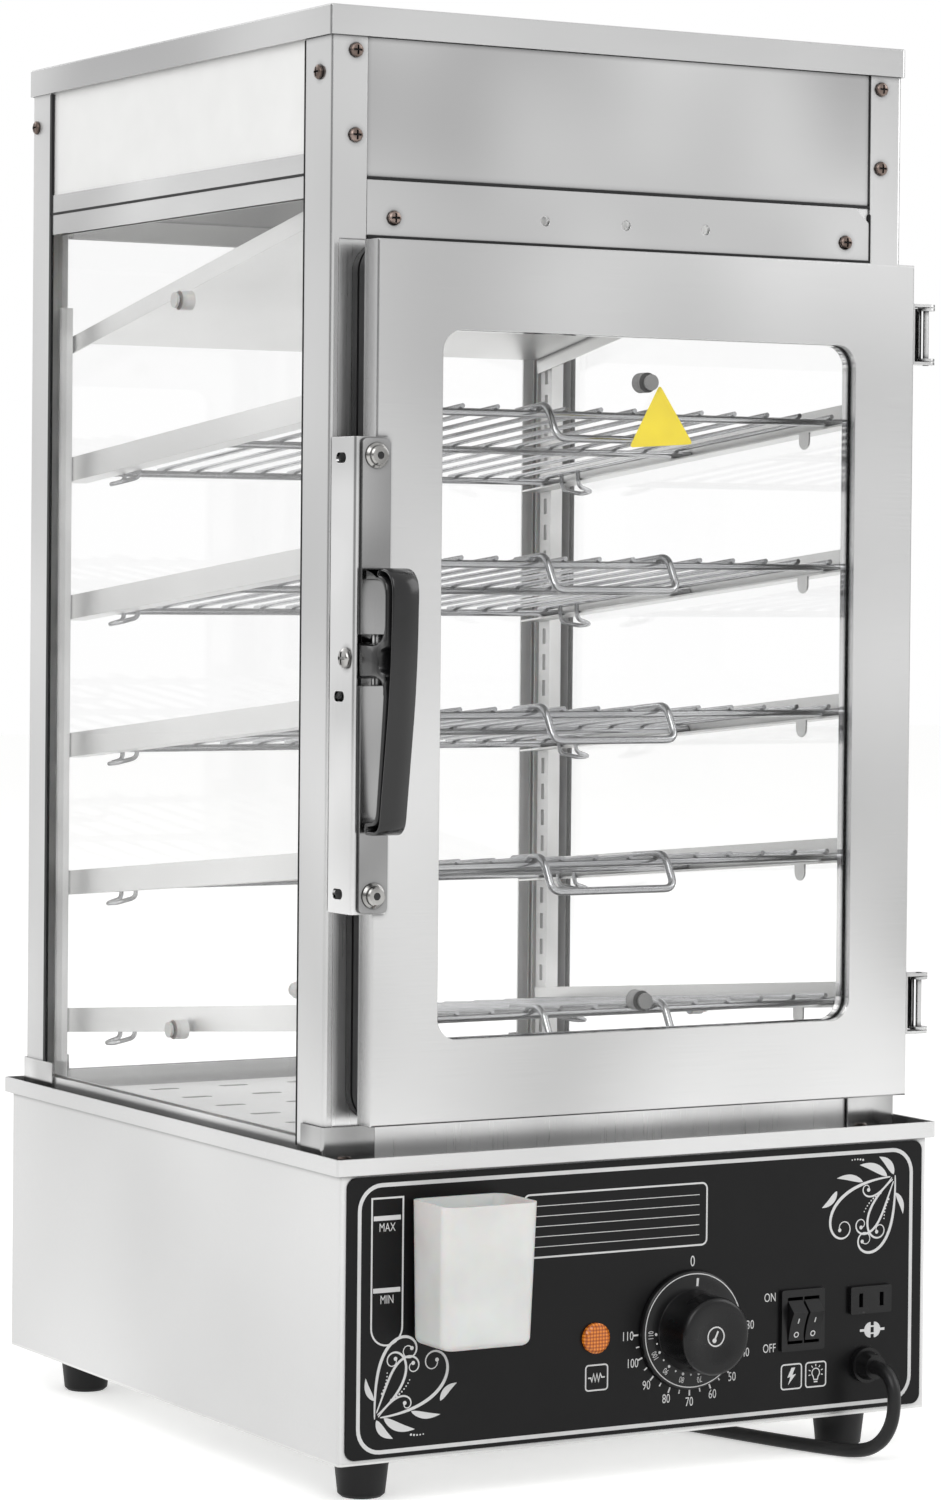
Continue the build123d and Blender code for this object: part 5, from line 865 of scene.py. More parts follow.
@dataclass
class Knob:
    """Thermostat knob: a printed skirt and a round grip with a dished face, turned in one piece."""

    skirt_face_y: float = -195.3
    grip_face_y: float = -217.3
    sides: int = 96

    def outline(self) -> list[Point2]:
        """Half section of the knob from the back to the dish's middle, as radius and y."""
        back, skirt, grip = PANEL_FACE_Y - 0.3, self.skirt_face_y, self.grip_face_y
        rim = [(0.0, back), (29.6, back), (29.6, back - 2.0), (29.3, back - 2.7), (28.6, skirt), (20.5, skirt)]
        side = [(20.1, skirt - 0.5), (19.4, grip + 3.2), (19.1, grip + 1.6), (18.3, grip + 0.5), (17.0, grip)]
        dish = [(14.0, 0.1), (11.2, 0.5), (8.8, 1.1), (6.4, 1.5), (3.2, 1.7), (0.0, 1.75)]
        return rim + side + [(radius, grip + depth) for radius, depth in dish]

    def turned(self) -> None:
        """Lathes the knob about the dial's axis and puts it in place of the plain one."""
        shape = bmesh.new()
        rings = []
        for radius, y in self.outline():
            spots = circle(DIAL_CENTRE, radius, self.sides) if radius else [DIAL_CENTRE]
            rings.append([shape.verts.new(metres(x, y, z)) for x, z in spots])
        for lower, upper in zip(rings, rings[1:]):
            for index in range(self.sides):
                corners = [lower[index % len(lower)], lower[(index + 1) % len(lower)]]
                corners += [upper[(index + 1) % len(upper)], upper[index % len(upper)]]
                shape.faces.new(list(dict.fromkeys(corners)))
        bmesh.ops.recalc_face_normals(shape, faces=shape.faces)
        piece = from_bmesh("dial_knob", shape, BLACK_ABS, smooth=True)
        sharpen(piece, 42.0)
        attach(piece, "knob")
        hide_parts("thermostat_knob")

    def skirt_print(self) -> None:
        """Ring, dots, numbers and pointer on the skirt."""
        ink = Print()
        ink.ring(DIAL_CENTRE, 28.2, 0.5, 96)
        for index in range(9):
            angle = 181.0 + 12.2 * index
            ink.disc(spoke(DIAL_CENTRE, angle, 22.0)[0], 0.5 if index % 2 else 0.75, 12)
            if index % 2 == 0:
                ink.word(str(110 - 5 * index), spoke(DIAL_CENTRE, angle, 25.0)[0], 3.0, 0.7, angle - 90.0)
        ink.line(spoke(DIAL_CENTRE, 85.0, 22.0, 26.0), 1.3)
        ink.lay("dial_print", upright(self.skirt_face_y - 0.05), WHITE_INK, "knob")

    def face_print(self) -> None:
        """Thermometer mark in a circle, in the middle of the dish."""
        ink = Print()
        x, z = DIAL_CENTRE
        ink.ring((x, z), 4.7, 0.7, 40)
        ink.line([(x - 0.7, z - 1.4), (x + 1.2, z + 2.6)], 1.0)
        ink.disc((x - 0.9, z - 1.9), 1.2, 16)
        ink.lay("knob_mark", upright(self.grip_face_y + 1.5), WHITE_INK, "knob")

    def build(self) -> None:
        """Makes the knob and its printing."""
        self.turned()
        self.skirt_print()
        self.face_print()


# Repeats made with Geometry Nodes


class NodeTree:
    """A Geometry Nodes tree that is built in the script and applied to one object."""

    def __init__(self, name: str, **inputs: str) -> None:
        """Makes the tree with its named inputs, a material among them.

        Args:
            name: Name of the tree.
            inputs: Name of each input after the geometry, with its socket type.
        """
        self.tree = bpy.data.node_groups.new(name, "GeometryNodeTree")
        face = self.tree.interface
        face.new_socket("Geometry", in_out="INPUT", socket_type="NodeSocketGeometry")
        kinds = inputs | {"material": "Material"}
        self.keys = {
            label: face.new_socket(label, in_out="INPUT", socket_type=f"NodeSocket{kind}").identifier
            for label, kind in kinds.items()
        }
        face.new_socket("Geometry", in_out="OUTPUT", socket_type="NodeSocketGeometry")
        self.given = self.add("NodeGroupInput").outputs

    def add(self, kind: str, inputs: dict[Any, Any] | None = None, **settings: Any) -> Any:
        """Adds a node to the tree and returns it."""
        return add_node(self.tree, kind, inputs, **settings)

    def spread(self, points: Socket, shape: Socket, **more: Any) -> Socket:
        """Puts a shape on each point."""
        return output(self.tree, "GeometryNodeInstanceOnPoints", {"Points": points, "Instance": shape} | more)

    def end(self, geometry: Socket) -> None:
        """Realizes the instances, sets the material and closes the tree."""
        real = output(self.tree, "GeometryNodeRealizeInstances", {0: geometry})
        inputs = {"Geometry": real, "Material": self.given["material"]}
        self.add("NodeGroupOutput", {0: output(self.tree, "GeometryNodeSetMaterial", inputs)})

    def apply(self, piece: Piece, **values: Any) -> None:
        """Runs the tree on an object and keeps the result as its plain mesh.

        Args:
            piece: Object whose mesh goes in.
            values: Value of each named input.
        """
        modifier = piece.modifiers.new("repeat", "NODES")
        modifier.node_group = self.tree
        for label, value in values.items():
            modifier[self.keys[label]] = value
        ready = piece.evaluated_get(bpy.context.evaluated_depsgraph_get())
        mesh = bpy.data.meshes.new_from_object(ready)
        piece.modifiers.remove(modifier)
        spent, piece.data = piece.data, mesh
        mesh.name = piece.name
        bpy.data.meshes.remove(spent)


def scatter_tree() -> NodeTree:
    """Tree that puts a shape on each point, with the shape's +Z along the point's direction.

    Returns:
        The tree, whose points carry a vector attribute called direction.
    """
    made = NodeTree("shape_on_points", shape="Object", size="Float")
    shape = made.add("GeometryNodeObjectInfo", {"Object": made.given["shape"]}).outputs["Geometry"]
    way = output(made.tree, "GeometryNodeInputNamedAttribute", {"Name": "direction"}, data_type="FLOAT_VECTOR")
    turned = output(made.tree, "FunctionNodeAlignRotationToVector", {"Vector": way}, axis="Z")
    made.end(made.spread(made.given["Geometry"], shape, Rotation=turned, Scale=made.given["size"]))
    return made


def shelf_tree() -> NodeTree:
    """Tree of a wire shelf's grid: cross rods on the incoming points, and wires across the rods.

    Returns:
        The tree.
    """
    sizes = {size: "Float" for size in ("rod_length", "rod_radius", "wire_pitch", "wire_length", "wire_radius")}
    made = NodeTree("wire_grid", **sizes, wire_count="Int", wire_start="Vector")
    given, tree = made.given, made.tree

    def bar(length: Socket, radius: Socket, axis: Point3, sides: int) -> Socket:
        """Round bar along an axis with closed ends."""
        reach = output(tree, "ShaderNodeVectorMath", {0: axis, "Scale": length}, operation="SCALE")
        path = output(tree, "GeometryNodeCurvePrimitiveLine", {"Start": (0.0, 0.0, 0.0), "End": reach})
        section = output(tree, "GeometryNodeCurvePrimitiveCircle", {"Resolution": sides, "Radius": radius})
        return output(tree, "GeometryNodeCurveToMesh", {"Curve": path, "Profile Curve": section, "Fill Caps": True})

    rods = made.spread(given["Geometry"], bar(given["rod_length"], given["rod_radius"], (1.0, 0.0, 0.0), 16))
    step = output(tree, "ShaderNodeCombineXYZ", {0: given["wire_pitch"]})
    row = {"Count": given["wire_count"], "Start Location": given["wire_start"], "Offset": step}
    wire = bar(given["wire_length"], given["wire_radius"], (0.0, 1.0, 0.0), 12)
    wires = made.spread(output(tree, "GeometryNodeMeshLine", row), wire)
    both = made.add("GeometryNodeJoinGeometry")
    for part in (wires, rods):
        tree.links.new(part, both.inputs[0])
    made.end(both.outputs[0])
    return made


def screw_head(radius: float, height: float, slot: float, reach: float, depth: float) -> Shape:
    """Pan head with a cross recess, its seat at the origin and its top along +Z.

    Args:
        radius: Radius of the head.
        height: Height of the head.
        slot: Half width of the recess's arms.
        reach: Length of an arm from the middle.
        depth: Depth of the recess.

    Returns:
        The head, in metres.
    """

    def crown(distance: float) -> float:
        """Height of the domed top at a distance from the axis."""
        return height * (0.38 + 0.62 * math.sqrt(max(0.0, 1 - (distance / radius) ** 3)))

    shape = bmesh.new()
    levels = [(slot * 1.45, True), (reach * 0.6, True), (reach * 0.96, True), (reach, False)]
    levels += [((reach + radius) / 2, False), (radius * 0.9, False), (radius * 0.98, False), (radius, False)]
    rings: list[list[Vertex]] = []
    for distance, cut in levels:
        edge = math.degrees(math.asin(min(0.7, slot / distance)))
        ring = []
        for quarter in range(4):
            for angle, low in ((-edge, False), (-edge, True), (0, True), (edge, True), (edge, False), (45, False)):
                turn = math.radians(90 * quarter + angle)
                rise = crown(distance) - (depth * (1.15 - 0.4 * distance / reach) if low and cut else 0.0)
                spot = metres(distance * math.cos(turn), distance * math.sin(turn), rise)
                ring.append(shape.verts.new(spot))
        rings.append(ring)
    rings.append([shape.verts.new((vertex.co.x, vertex.co.y, 0.0)) for vertex in rings[-1]])
    middle = shape.verts.new((0.0, 0.0, (height - depth * 1.1) * MM))
    count = len(rings[0])
    for index in range(count):
        after = (index + 1) % count
        for inner, outer in zip(rings, rings[1:]):
            shape.faces.new((inner[index], outer[index], outer[after], inner[after]))
        shape.faces.new((middle, rings[0][index], rings[0][after]))
    shape.faces.new(list(reversed(rings[-1])))
    bmesh.ops.remove_doubles(shape, verts=shape.verts, dist=1e-7)
    bmesh.ops.recalc_face_normals(shape, faces=shape.faces)
    return shape


@dataclass
class Fasteners:
    """Cross-recessed pan heads on the cabinet frame, the post clips and the latch's pivot."""

    head_radius: float = 3.6
    head_height: float = 2.4
    recess: tuple[float, float, float] = (0.48, 2.3, 1.25)
    post_x: float = 166.5
    front_y: float = -165.0
    back_y: float = 182.0
    header_heights: tuple[float, float] = (698.6, 657.9)
    side_height: float = 688.4
    strip_screw: Point2 = (132.0, 619.0)
    clip_height: float = 163.4
    pivot: Point3 = (-166.5, -184.8, 407.0)
    pivot_size: float = 1.36

    def seats(self) -> list[tuple[Point3, Point3]]:
        """Point and outward direction of each frame screw, in mm.

        Returns:
            The seats, as in the solid model.
        """
        seats: list[tuple[Point3, Point3]] = []
        for side in (-1, 1):
            for z in self.header_heights:
                seats.append(((side * (self.post_x - 13.0), self.front_y, z), (0, -1, 0)))
                seats.append(((side * (self.post_x - 13.0), self.back_y, z), (0, 1, 0)))
            for y in (self.front_y + 12.4, self.back_y - 6.5):
                seats.append(((side * self.post_x, y, self.side_height), (side, 0, 0)))
            seats.append(((side * self.strip_screw[0], self.front_y, self.strip_screw[1]), (0, -1, 0)))
            for y in (self.front_y - 8.2, self.back_y + 5.2):
                seats.append(((side * (self.post_x - 15.0), y, self.clip_height), (0, 0, 1)))
        return seats

    def spread(self, name: str, seats: Iterable[tuple[Point3, Point3]], size: float, finish: Finish) -> Piece:
        """Puts a head on each seat with the scatter tree.

        Args:
            name: Name of the piece.
            seats: Points and directions in mm.
            size: Size against the standard head.
            finish: The heads' finish.

        Returns:
            The piece, one mesh.
        """
        spots, directions = zip(*seats)
        mesh = bpy.data.meshes.new(name)
        mesh.from_pydata([metres(*spot) for spot in spots], [], [])
        way = mesh.attributes.new("direction", "FLOAT_VECTOR", "POINT")
        for place, direction in zip(way.data, directions):
            place.vector = direction
        piece = put(name, mesh)
        head = screw_head(self.head_radius, self.head_height, *self.recess)
        shape = from_bmesh("screw_head_shape", head, finish, smooth=True)
        sharpen(shape, 35.0)
        scatter_tree().apply(piece, shape=shape, size=size, material=finish.material())
        bpy.data.objects.remove(shape)
        return piece

    def build(self) -> None:
        """Makes the frame screws and the pivot screw's head."""
        seats = self.seats()
        screws = self.spread("frame_screw_heads", seats, 1.0, SCREW_BRONZE)
        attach(screws, "cabinet")
        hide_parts("frame_screws")
        pivot = self.spread("pivot_screw_head", [(self.pivot, (-1, 0, 0))], self.pivot_size, SCREW_BRIGHT)
        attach(pivot, "door")
        log.info("fasteners: %d frame screws", len(seats))


@dataclass
class WireShelf:
    """One chromed wire shelf on its sloping brackets, with a pull loop at the front."""

    level: int
    lowest_hook: float = 232.0
    hook_pitch: float = 75.0
    hook_y: float = -152.3
    slope: float = math.atan(30.0 / 316.5)
    rod_radius: float = 2.0
    wire_radius: float = 1.25
    rod_height: float = -3.2
    wire_height: float = -0.3
    rod_half: float = 148.3
    rod_spots: tuple[float, ...] = (13.0, 161.0, 299.0)
    wire_start: float = 11.0
    wire_length: float = 296.0
    wire_count: int = 15
    wire_pitch: float = 20.0
    pull_half: float = 35.8
    pull_bend: float = 6.0
    stop_bend: float = 3.2

    def tilted(self) -> Matrix:
        """Place of the shelf: origin at the front hook's height, y running down to the back."""
        height = self.lowest_hook + self.hook_pitch * self.level
        return Matrix.Translation(metres(0.0, self.hook_y, height)) @ Matrix.Rotation(-self.slope, 4, "X")

    def bent(self, corners: Sequence[Point3], radius: float, bend: float) -> Mesh:
        """Round wire bent along a path, in the shelf's own frame.

        Args:
            corners: The path's corners in mm.
            radius: Radius of the wire.
            bend: Distance from a corner at which its bend starts.

        Returns:
            The wire's mesh.
        """
        turns = zip(corners, corners[1:], corners[2:])
        points = [corners[0], *(point for turn in turns for point in eased(*turn, bend, 7)), corners[-1]]
        path = bpy.data.curves.new("wire_path", "CURVE")
        path.dimensions, path.bevel_depth, path.bevel_resolution = "3D", radius * MM, 4
        path.use_fill_caps = True
        spline = path.splines.new("POLY")
        spline.points.add(len(points) - 1)
        for spot, point in zip(spline.points, points):
            spot.co = (*metres(*point), 1.0)
        holder = bpy.data.objects.new("wire_path", path)
        mesh = bpy.data.meshes.new_from_object(holder)
        bpy.data.objects.remove(holder)
        return mesh

    def bent_wires(self) -> list[Mesh]:
        """Pull loop at the front, and a stop under the ledge on each side at the back."""
        top, low, half = 0.45, -17.2, self.pull_half
        left = [(-half, 33.0, top), (-half, 3.7, top), (-half, -4.0, low)]
        right = [(-x, y, z) for x, y, z in reversed(left)]
        wires = [self.bent(left + right, self.rod_radius, self.pull_bend)]
        for side in (-1, 1):
            leg, nose = side * 135.6, side * 146.0
            stop = [(leg, 258.0, -1.2), (leg, 258.0, -10.0), (nose, 261.0, -12.6)]
            stop += [(nose, 273.0, -12.6), (leg, 276.0, -10.0), (leg, 276.0, -1.2)]
            wires.append(self.bent(stop, self.wire_radius, self.stop_bend))
        return wires

    def build(self, tree: NodeTree) -> None:
        """Makes the shelf and puts it in place of the plain one.

        Args:
            tree: The wire grid's tree.
        """
        number = self.level + 1
        mesh = bpy.data.meshes.new(f"shelf_{number}_wires")
        mesh.from_pydata([metres(-self.rod_half, y, self.rod_height) for y in self.rod_spots], [], [])
        piece = put(mesh.name, mesh)
        first_x = -self.wire_pitch * (self.wire_count - 1) / 2
        tree.apply(
            piece,
            rod_length=2 * self.rod_half * MM,
            rod_radius=self.rod_radius * MM,
            wire_count=self.wire_count,
            wire_pitch=self.wire_pitch * MM,
            wire_length=self.wire_length * MM,
            wire_radius=self.wire_radius * MM,
            wire_start=metres(first_x, self.wire_start, self.wire_height),
            material=CHROME.material(),
        )
        whole = opened(piece.data)
        for wire in self.bent_wires():
            whole.from_mesh(wire)
        whole.transform(self.tilted())
        bmesh.ops.recalc_face_normals(whole, faces=whole.faces)
        for face in whole.faces:
            face.smooth = len(face.verts) <= 4
            face.material_index = 0
        write_back(whole, piece.data)
        piece.data.materials.clear()
        piece.data.materials.append(CHROME.material())
        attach(piece, f"wire_shelf_{number}")
        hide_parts(f"shelf_{number}")
        log.info("wire shelf %d, %d faces", number, len(piece.data.polygons))


# Small dressed pieces


@dataclass
class Rockers:
    """Printed line and ring on the dished faces of the twin rocker switch."""

    centres: tuple[float, float] = (88.6, 98.6)
    bodies: tuple[str, str] = ("power_switch", "light_switch")
    dish_centre: Point2 = (-230.3, 59.3)
    dish_radius: float = 36.09
    line_height: float = 73.2
    ring_height: float = 66.0

    def face(self, x: float, z: float) -> Matrix:
        """Plane that touches the dish at height z in mm, a hair in front of it."""
        rise = z - self.dish_centre[1]
        depth = math.sqrt(self.dish_radius**2 - rise**2)
        along = Vector((-rise, depth)).normalized()
        spot = metres(x, self.dish_centre[0] + depth - 0.08, z)
        rows = ((1.0, 0.0, 0.0, spot[0]), (0.0, along.x, -along.y, spot[1]), (0.0, along.y, along.x, spot[2]))
        return Matrix((*rows, (0.0, 0.0, 0.0, 1.0)))

    def build(self) -> None:
        """Prints both rockers."""
        for number, (x, body) in enumerate(zip(self.centres, self.bodies), start=1):
            on, off = Print(), Print()
            on.line([(0.0, -1.4), (0.0, 1.4)], 0.7)
            off.ring((0.0, 0.0), 1.25, 0.55, 24)
            on.lay(f"rocker_line_{number}", self.face(x, self.line_height), WHITE_INK, body)
            off.lay(f"rocker_ring_{number}", self.face(x, self.ring_height), WHITE_INK, body)


@dataclass
class SealantBeads:
    """Painted shade in the cabinet's seams, drawn as thin black strips, and in the sockets of the latch screws,
    drawn as black hexagons.
    """

    # Opposite corners of each strip: those at the front, and those of the right side, which the left side mirrors
    front_runs: tuple[tuple[Point3, Point3], ...] = (
        ((-146.9, -165.1, 637.0), (146.9, -164.2, 638.5)),
        ((-146.9, -165.7, 608.4), (146.9, -165.0, 610.3)),
        ((146.5, -165.4, 608.4), (147.6, -164.2, 634.0)),
    )
    side_runs: tuple[tuple[Point3, Point3], ...] = (
        ((165.4, 155.8, 169.4), (166.9, 159.0, 705.0)),
        ((165.4, -138.0, 169.4), (166.8, -136.9, 705.0)),
        ((165.8, -137.0, 639.5), (166.9, 158.0, 640.8)),
    )
    edge: float = 0.25
    socket_radius: float = 1.9
    sockets: tuple[Point2, ...] = ((-155.65, 294.0), (-155.65, 503.5))
    socket_face_y: float = -197.53

    def strips(self) -> Shape:
        """Builds all the strips as bars with rounded edges.

        Returns:
            The bars, in metres.
        """
        shape = bmesh.new()
        mirrored = [[(-x, y, z) for x, y, z in run] for run in self.side_runs]
        for low, high in (*self.front_runs, *self.side_runs, *mirrored):
            span = metres(*(abs(b - a) for a, b in zip(low, high)))
            middle = metres(*((a + b) / 2 for a, b in zip(low, high)))
            place = Matrix.Translation(middle) @ Matrix.Diagonal((*span, 1.0))
            bmesh.ops.create_cube(shape, size=1.0, matrix=place)
        edges = list(shape.edges)
        bmesh.ops.bevel(shape, geom=edges, offset=self.edge * MM, segments=2, affect="EDGES", clamp_overlap=True)
        bmesh.ops.recalc_face_normals(shape, faces=list(shape.faces))
        return shape

    def build(self) -> None:
        """Lays the strips, and the sockets as hexagons."""
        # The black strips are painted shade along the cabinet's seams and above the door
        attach(from_bmesh("sealant_beads", self.strips(), RUBBER, smooth=False), "cabinet")
        # Black hexagons are painted shade in the latch screws' sockets
        ink = Print()
        for centre in self.sockets:
            ink.area(arc(centre, self.socket_radius, 30.0, 330.0, 6))
        ink.lay("latch_screw_sockets", upright(self.socket_face_y), GLOSS_BLACK, "door")


@dataclass
class Sticker:
    """Blank yellow triangular sticker on the door's glass."""

    corners: tuple[Point2, Point2, Point2] = ((-9.9, 510.6), (27.4, 513.0), (7.5, 542.2))
    rounding: float = 2.6
    face_y: float = -185.66

    def build(self) -> None:
        """Cuts the sticker with round corners and lays it on the glass."""
        ink = Print()
        ink.area(rounded([(*corner, self.rounding) for corner in self.corners]))
        ink.lay("door_sticker", upright(self.face_y), YELLOW_VINYL, "door")


@dataclass
class LatchLever:
    """Hollow moulded latch lever: a bow with a deep pocket in its side, and a waisted neck."""

    left_x: float = -163.7
    width: float = 14.0
    pocket_depth: float = 10.0
    edge: float = 0.55
    back_y: float = -192.6
    corner_steps: int = 9

    # Corners seen from the side: y, z and the distance at which the rounding starts
    BOW = [
        (-198.2, 450.0, 1.0), (-226.0, 450.0, 13.0), (-224.8, 398.0, 26.0), (-214.0, 323.5, 8.0),
        (-198.2, 323.5, 2.2), (-198.2, 329.2, 2.2), (-209.4, 330.4, 5.0), (-215.2, 379.0, 20.0),
        (-216.6, 396.5, 7.0), (-207.0, 399.0, 4.0), (-191.3, 398.2, 0.3), (-191.3, 414.0, 0.3),
        (-207.0, 413.0, 5.0), (-217.0, 417.5, 7.0), (-217.0, 444.3, 9.0), (-198.2, 444.3, 1.0),
    ]
    # The pocket widens into the neck
    POCKET = [
        (-210.0, 448.3, 1.5), (-224.3, 448.3, 11.5), (-223.1, 398.0, 26.0), (-212.4, 325.3, 6.0),
        (-201.0, 325.3, 1.0), (-201.0, 327.3, 1.0), (-211.2, 328.6, 5.0), (-217.1, 379.0, 20.0),
        (-218.3, 400.0, 3.0), (-211.0, 401.6, 3.4), (-211.0, 411.2, 3.4), (-218.8, 413.0, 3.0),
        (-218.8, 446.2, 9.0), (-210.0, 446.7, 0.5),
    ]

    def bow(self) -> Shape:
        """Builds the bow with eased edges.

        Returns:
            The bow, in metres.
        """
        shape = bmesh.new()

        def loop(points: Sequence[Point2], x: float) -> list[Vertex]:
            """Adds an outline at x."""
            return [shape.verts.new(metres(x, y, z)) for y, z in points]

        def wall(first: list[Vertex], second: list[Vertex]) -> None:
            """Joins two outlines."""
            for index in range(len(first)):
                after = (index + 1) % len(first)
                shape.faces.new((first[index], first[after], second[after], second[index]))

        def fill(*loops: list[Vertex]) -> None:
            """Closes the flat area between outlines."""
            pairs = [pair for ring in loops for pair in zip(ring, ring[1:] + ring[:1])]
            edges = [shape.edges.get(pair) or shape.edges.new(pair) for pair in pairs]
            bmesh.ops.triangle_fill(shape, edges=edges, use_beauty=True, use_dissolve=False)

        outer, inner = rounded(self.BOW, self.corner_steps), rounded(self.POCKET, self.corner_steps)
        spin = sum(a[0] * b[1] - b[0] * a[1] for a, b in zip(outer, outer[1:] + outer[:1]))
        inward = math.copysign(self.edge, spin)
        left_x, right_x = self.left_x, self.left_x + self.width
        left_face, left_side = loop(offset(outer, inward), left_x), loop(outer, left_x + self.edge)
        right_side, right_face = loop(outer, right_x - self.edge), loop(offset(outer, inward), right_x)
        mouth, lip = loop(offset(inner, -inward), left_x), loop(inner, left_x + self.edge)
        floor = loop(inner, left_x + self.pocket_depth)
        for first, second in (
            (left_face, left_side), (left_side, right_side), (right_side, right_face), (mouth, lip), (lip, floor)
        ):
            wall(first, second)
        fill(left_face, mouth)
        fill(right_face)
        fill(floor)
        bmesh.ops.recalc_face_normals(shape, faces=shape.faces)
        return shape

    def rear(self, solid: Piece) -> Mesh:
        """Hub and nose behind the plate, cut from a copy of the solid.

        Args:
            solid: The lever's own solid.

        Returns:
            The mesh of what lies behind the cut.
        """
        shape = opened(solid.data)
        bmesh.ops.remove_doubles(shape, verts=shape.verts, dist=1e-6)
        everything = [*shape.verts, *shape.edges, *shape.faces]
        cut = (0.0, self.back_y * MM, 0.0)
        bmesh.ops.bisect_plane(shape, geom=everything, plane_co=cut, plane_no=(0.0, -1.0, 0.0), clear_outer=True)
        rims = [edge for edge in shape.edges if len(edge.link_faces) == 1]
        bmesh.ops.holes_fill(shape, edges=rims, sides=0)
        mesh = bpy.data.meshes.new("lever_rear")
        write_back(shape, mesh)
        return mesh

    def build(self, frame: dict[str, Any]) -> None:
        """Makes the lever and puts it in place of the plain one.

        Args:
            frame: The loaded frame.
        """
        whole = self.bow()
        whole.from_mesh(self.rear(frame["nodes"]["latch_lever"]))
        piece = from_bmesh("latch_lever_bow", whole, GLOSS_BLACK, smooth=True)
        sharpen(piece, 50.0)
        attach(piece, "lever")
        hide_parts("latch_lever")
        log.info("latch lever, %d faces", len(piece.data.polygons))


@dataclass
class PowerCord:
    """Mains lead: out of the gland, down and under the base, then wound in a coil behind it."""

    diameter: float = 7.0
    length: float = 1640.0
    floor_z: float = 3.6
    coil: Point2 = (-14.0, 282.0)
    distances: tuple[float, ...] = (46.0, 42.2, 38.4, 34.6, 29.6)
    rise: float = 7.5
    steps: int = 8
    run_to_plug: tuple[float, ...] = (276.0, 264.0, 252.0)
    route: tuple[Point3, ...] = (
        (132.8, -201.8, 47.0),
        (132.8, -209.3, 47.0),
        (133.1, -216.2, 41.2),
        (133.3, -217.9, 31.4),
        (132.9, -215.8, 19.6),
        (131.2, -208.6, 9.4),
        (127.5, -197.0, 3.6),
        (116.5, -177.0, 3.6),
        (101.0, -136.0, 3.6),
        (78.0, -60.0, 3.6),
        (66.0, 38.0, 3.6),
        (44.0, 132.0, 3.6),
        (32.0, 212.0, 3.6),
        (32.0, 275.0, 3.6),
    )

    def half_turn(self, start: float, finish: float, side: int, low: float, high: float) -> list[Point3]:
        """Control points of half a turn, counter-clockwise seen from above.

        Args:
            start: Distance from the coil's middle at its start.
            finish: Distance at its end.
            side: 1 where it starts on the right, -1 on the left.
            low: Height at its start.
            high: Height at its end.

        Returns:
            The points, without the one that starts the next half turn.
        """
        bulge = 1.0 / math.cos(math.pi / self.steps / 2)
        centre_x = self.coil[0] + side * (start - finish) / 2
        reach = side * (start + finish) / 2 * bulge
        points = []
        for index in range(self.steps):
            share = (index + 0.5) / self.steps
            turn = math.pi * share
            x, y = centre_x + reach * math.cos(turn), self.coil[1] + reach * math.sin(turn)
            points.append((x, y, low + (high - low) * share))
        return points

    def points(self) -> list[Point3]:
        """Control points of the whole lead: the route, the coil's turns and the run to the plug.

        Returns:
            The points in mm.
        """
        low, high, inner = self.floor_z, self.floor_z + self.rise, self.distances[-1]
        inward = list(zip(self.distances, self.distances[1:]))
        turns = [(start, finish, low, low) for start, finish in inward]
        turns += [(inner, inner, low, high)]
        turns += [(start, finish, high, high) for finish, start in reversed(inward)]
        points = list(self.route)
        for number, (start, finish, foot, top) in enumerate(turns):
            points += self.half_turn(start, finish, (-1) ** number, foot, top)
        return points + [(self.coil[0] - self.distances[0], y, high) for y in self.run_to_plug]

    def build(self) -> None:
        """Lays the cord and puts it in place of its two solids."""
        path = bpy.data.curves.new("power_cord", "CURVE")
        path.dimensions, path.resolution_u = "3D", 6
        path.bevel_depth, path.bevel_resolution = self.diameter / 2 * MM, 5
        path.use_fill_caps = True
        spline = path.splines.new("NURBS")
        points = self.points()
        spline.points.add(len(points) - 1)
        for spot, point in zip(spline.points, points):
            spot.co = (*metres(*point), 1.0)
        spline.order_u = 3
        spline.use_endpoint_u = True
        path.materials.append(CORD_PVC.material())
        piece = put("power_cord", path)
        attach(piece, "cabinet")
        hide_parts("cord_lead", "cord_coil")
        log.info("power cord, %d control points", len(points))


# Studio and camera


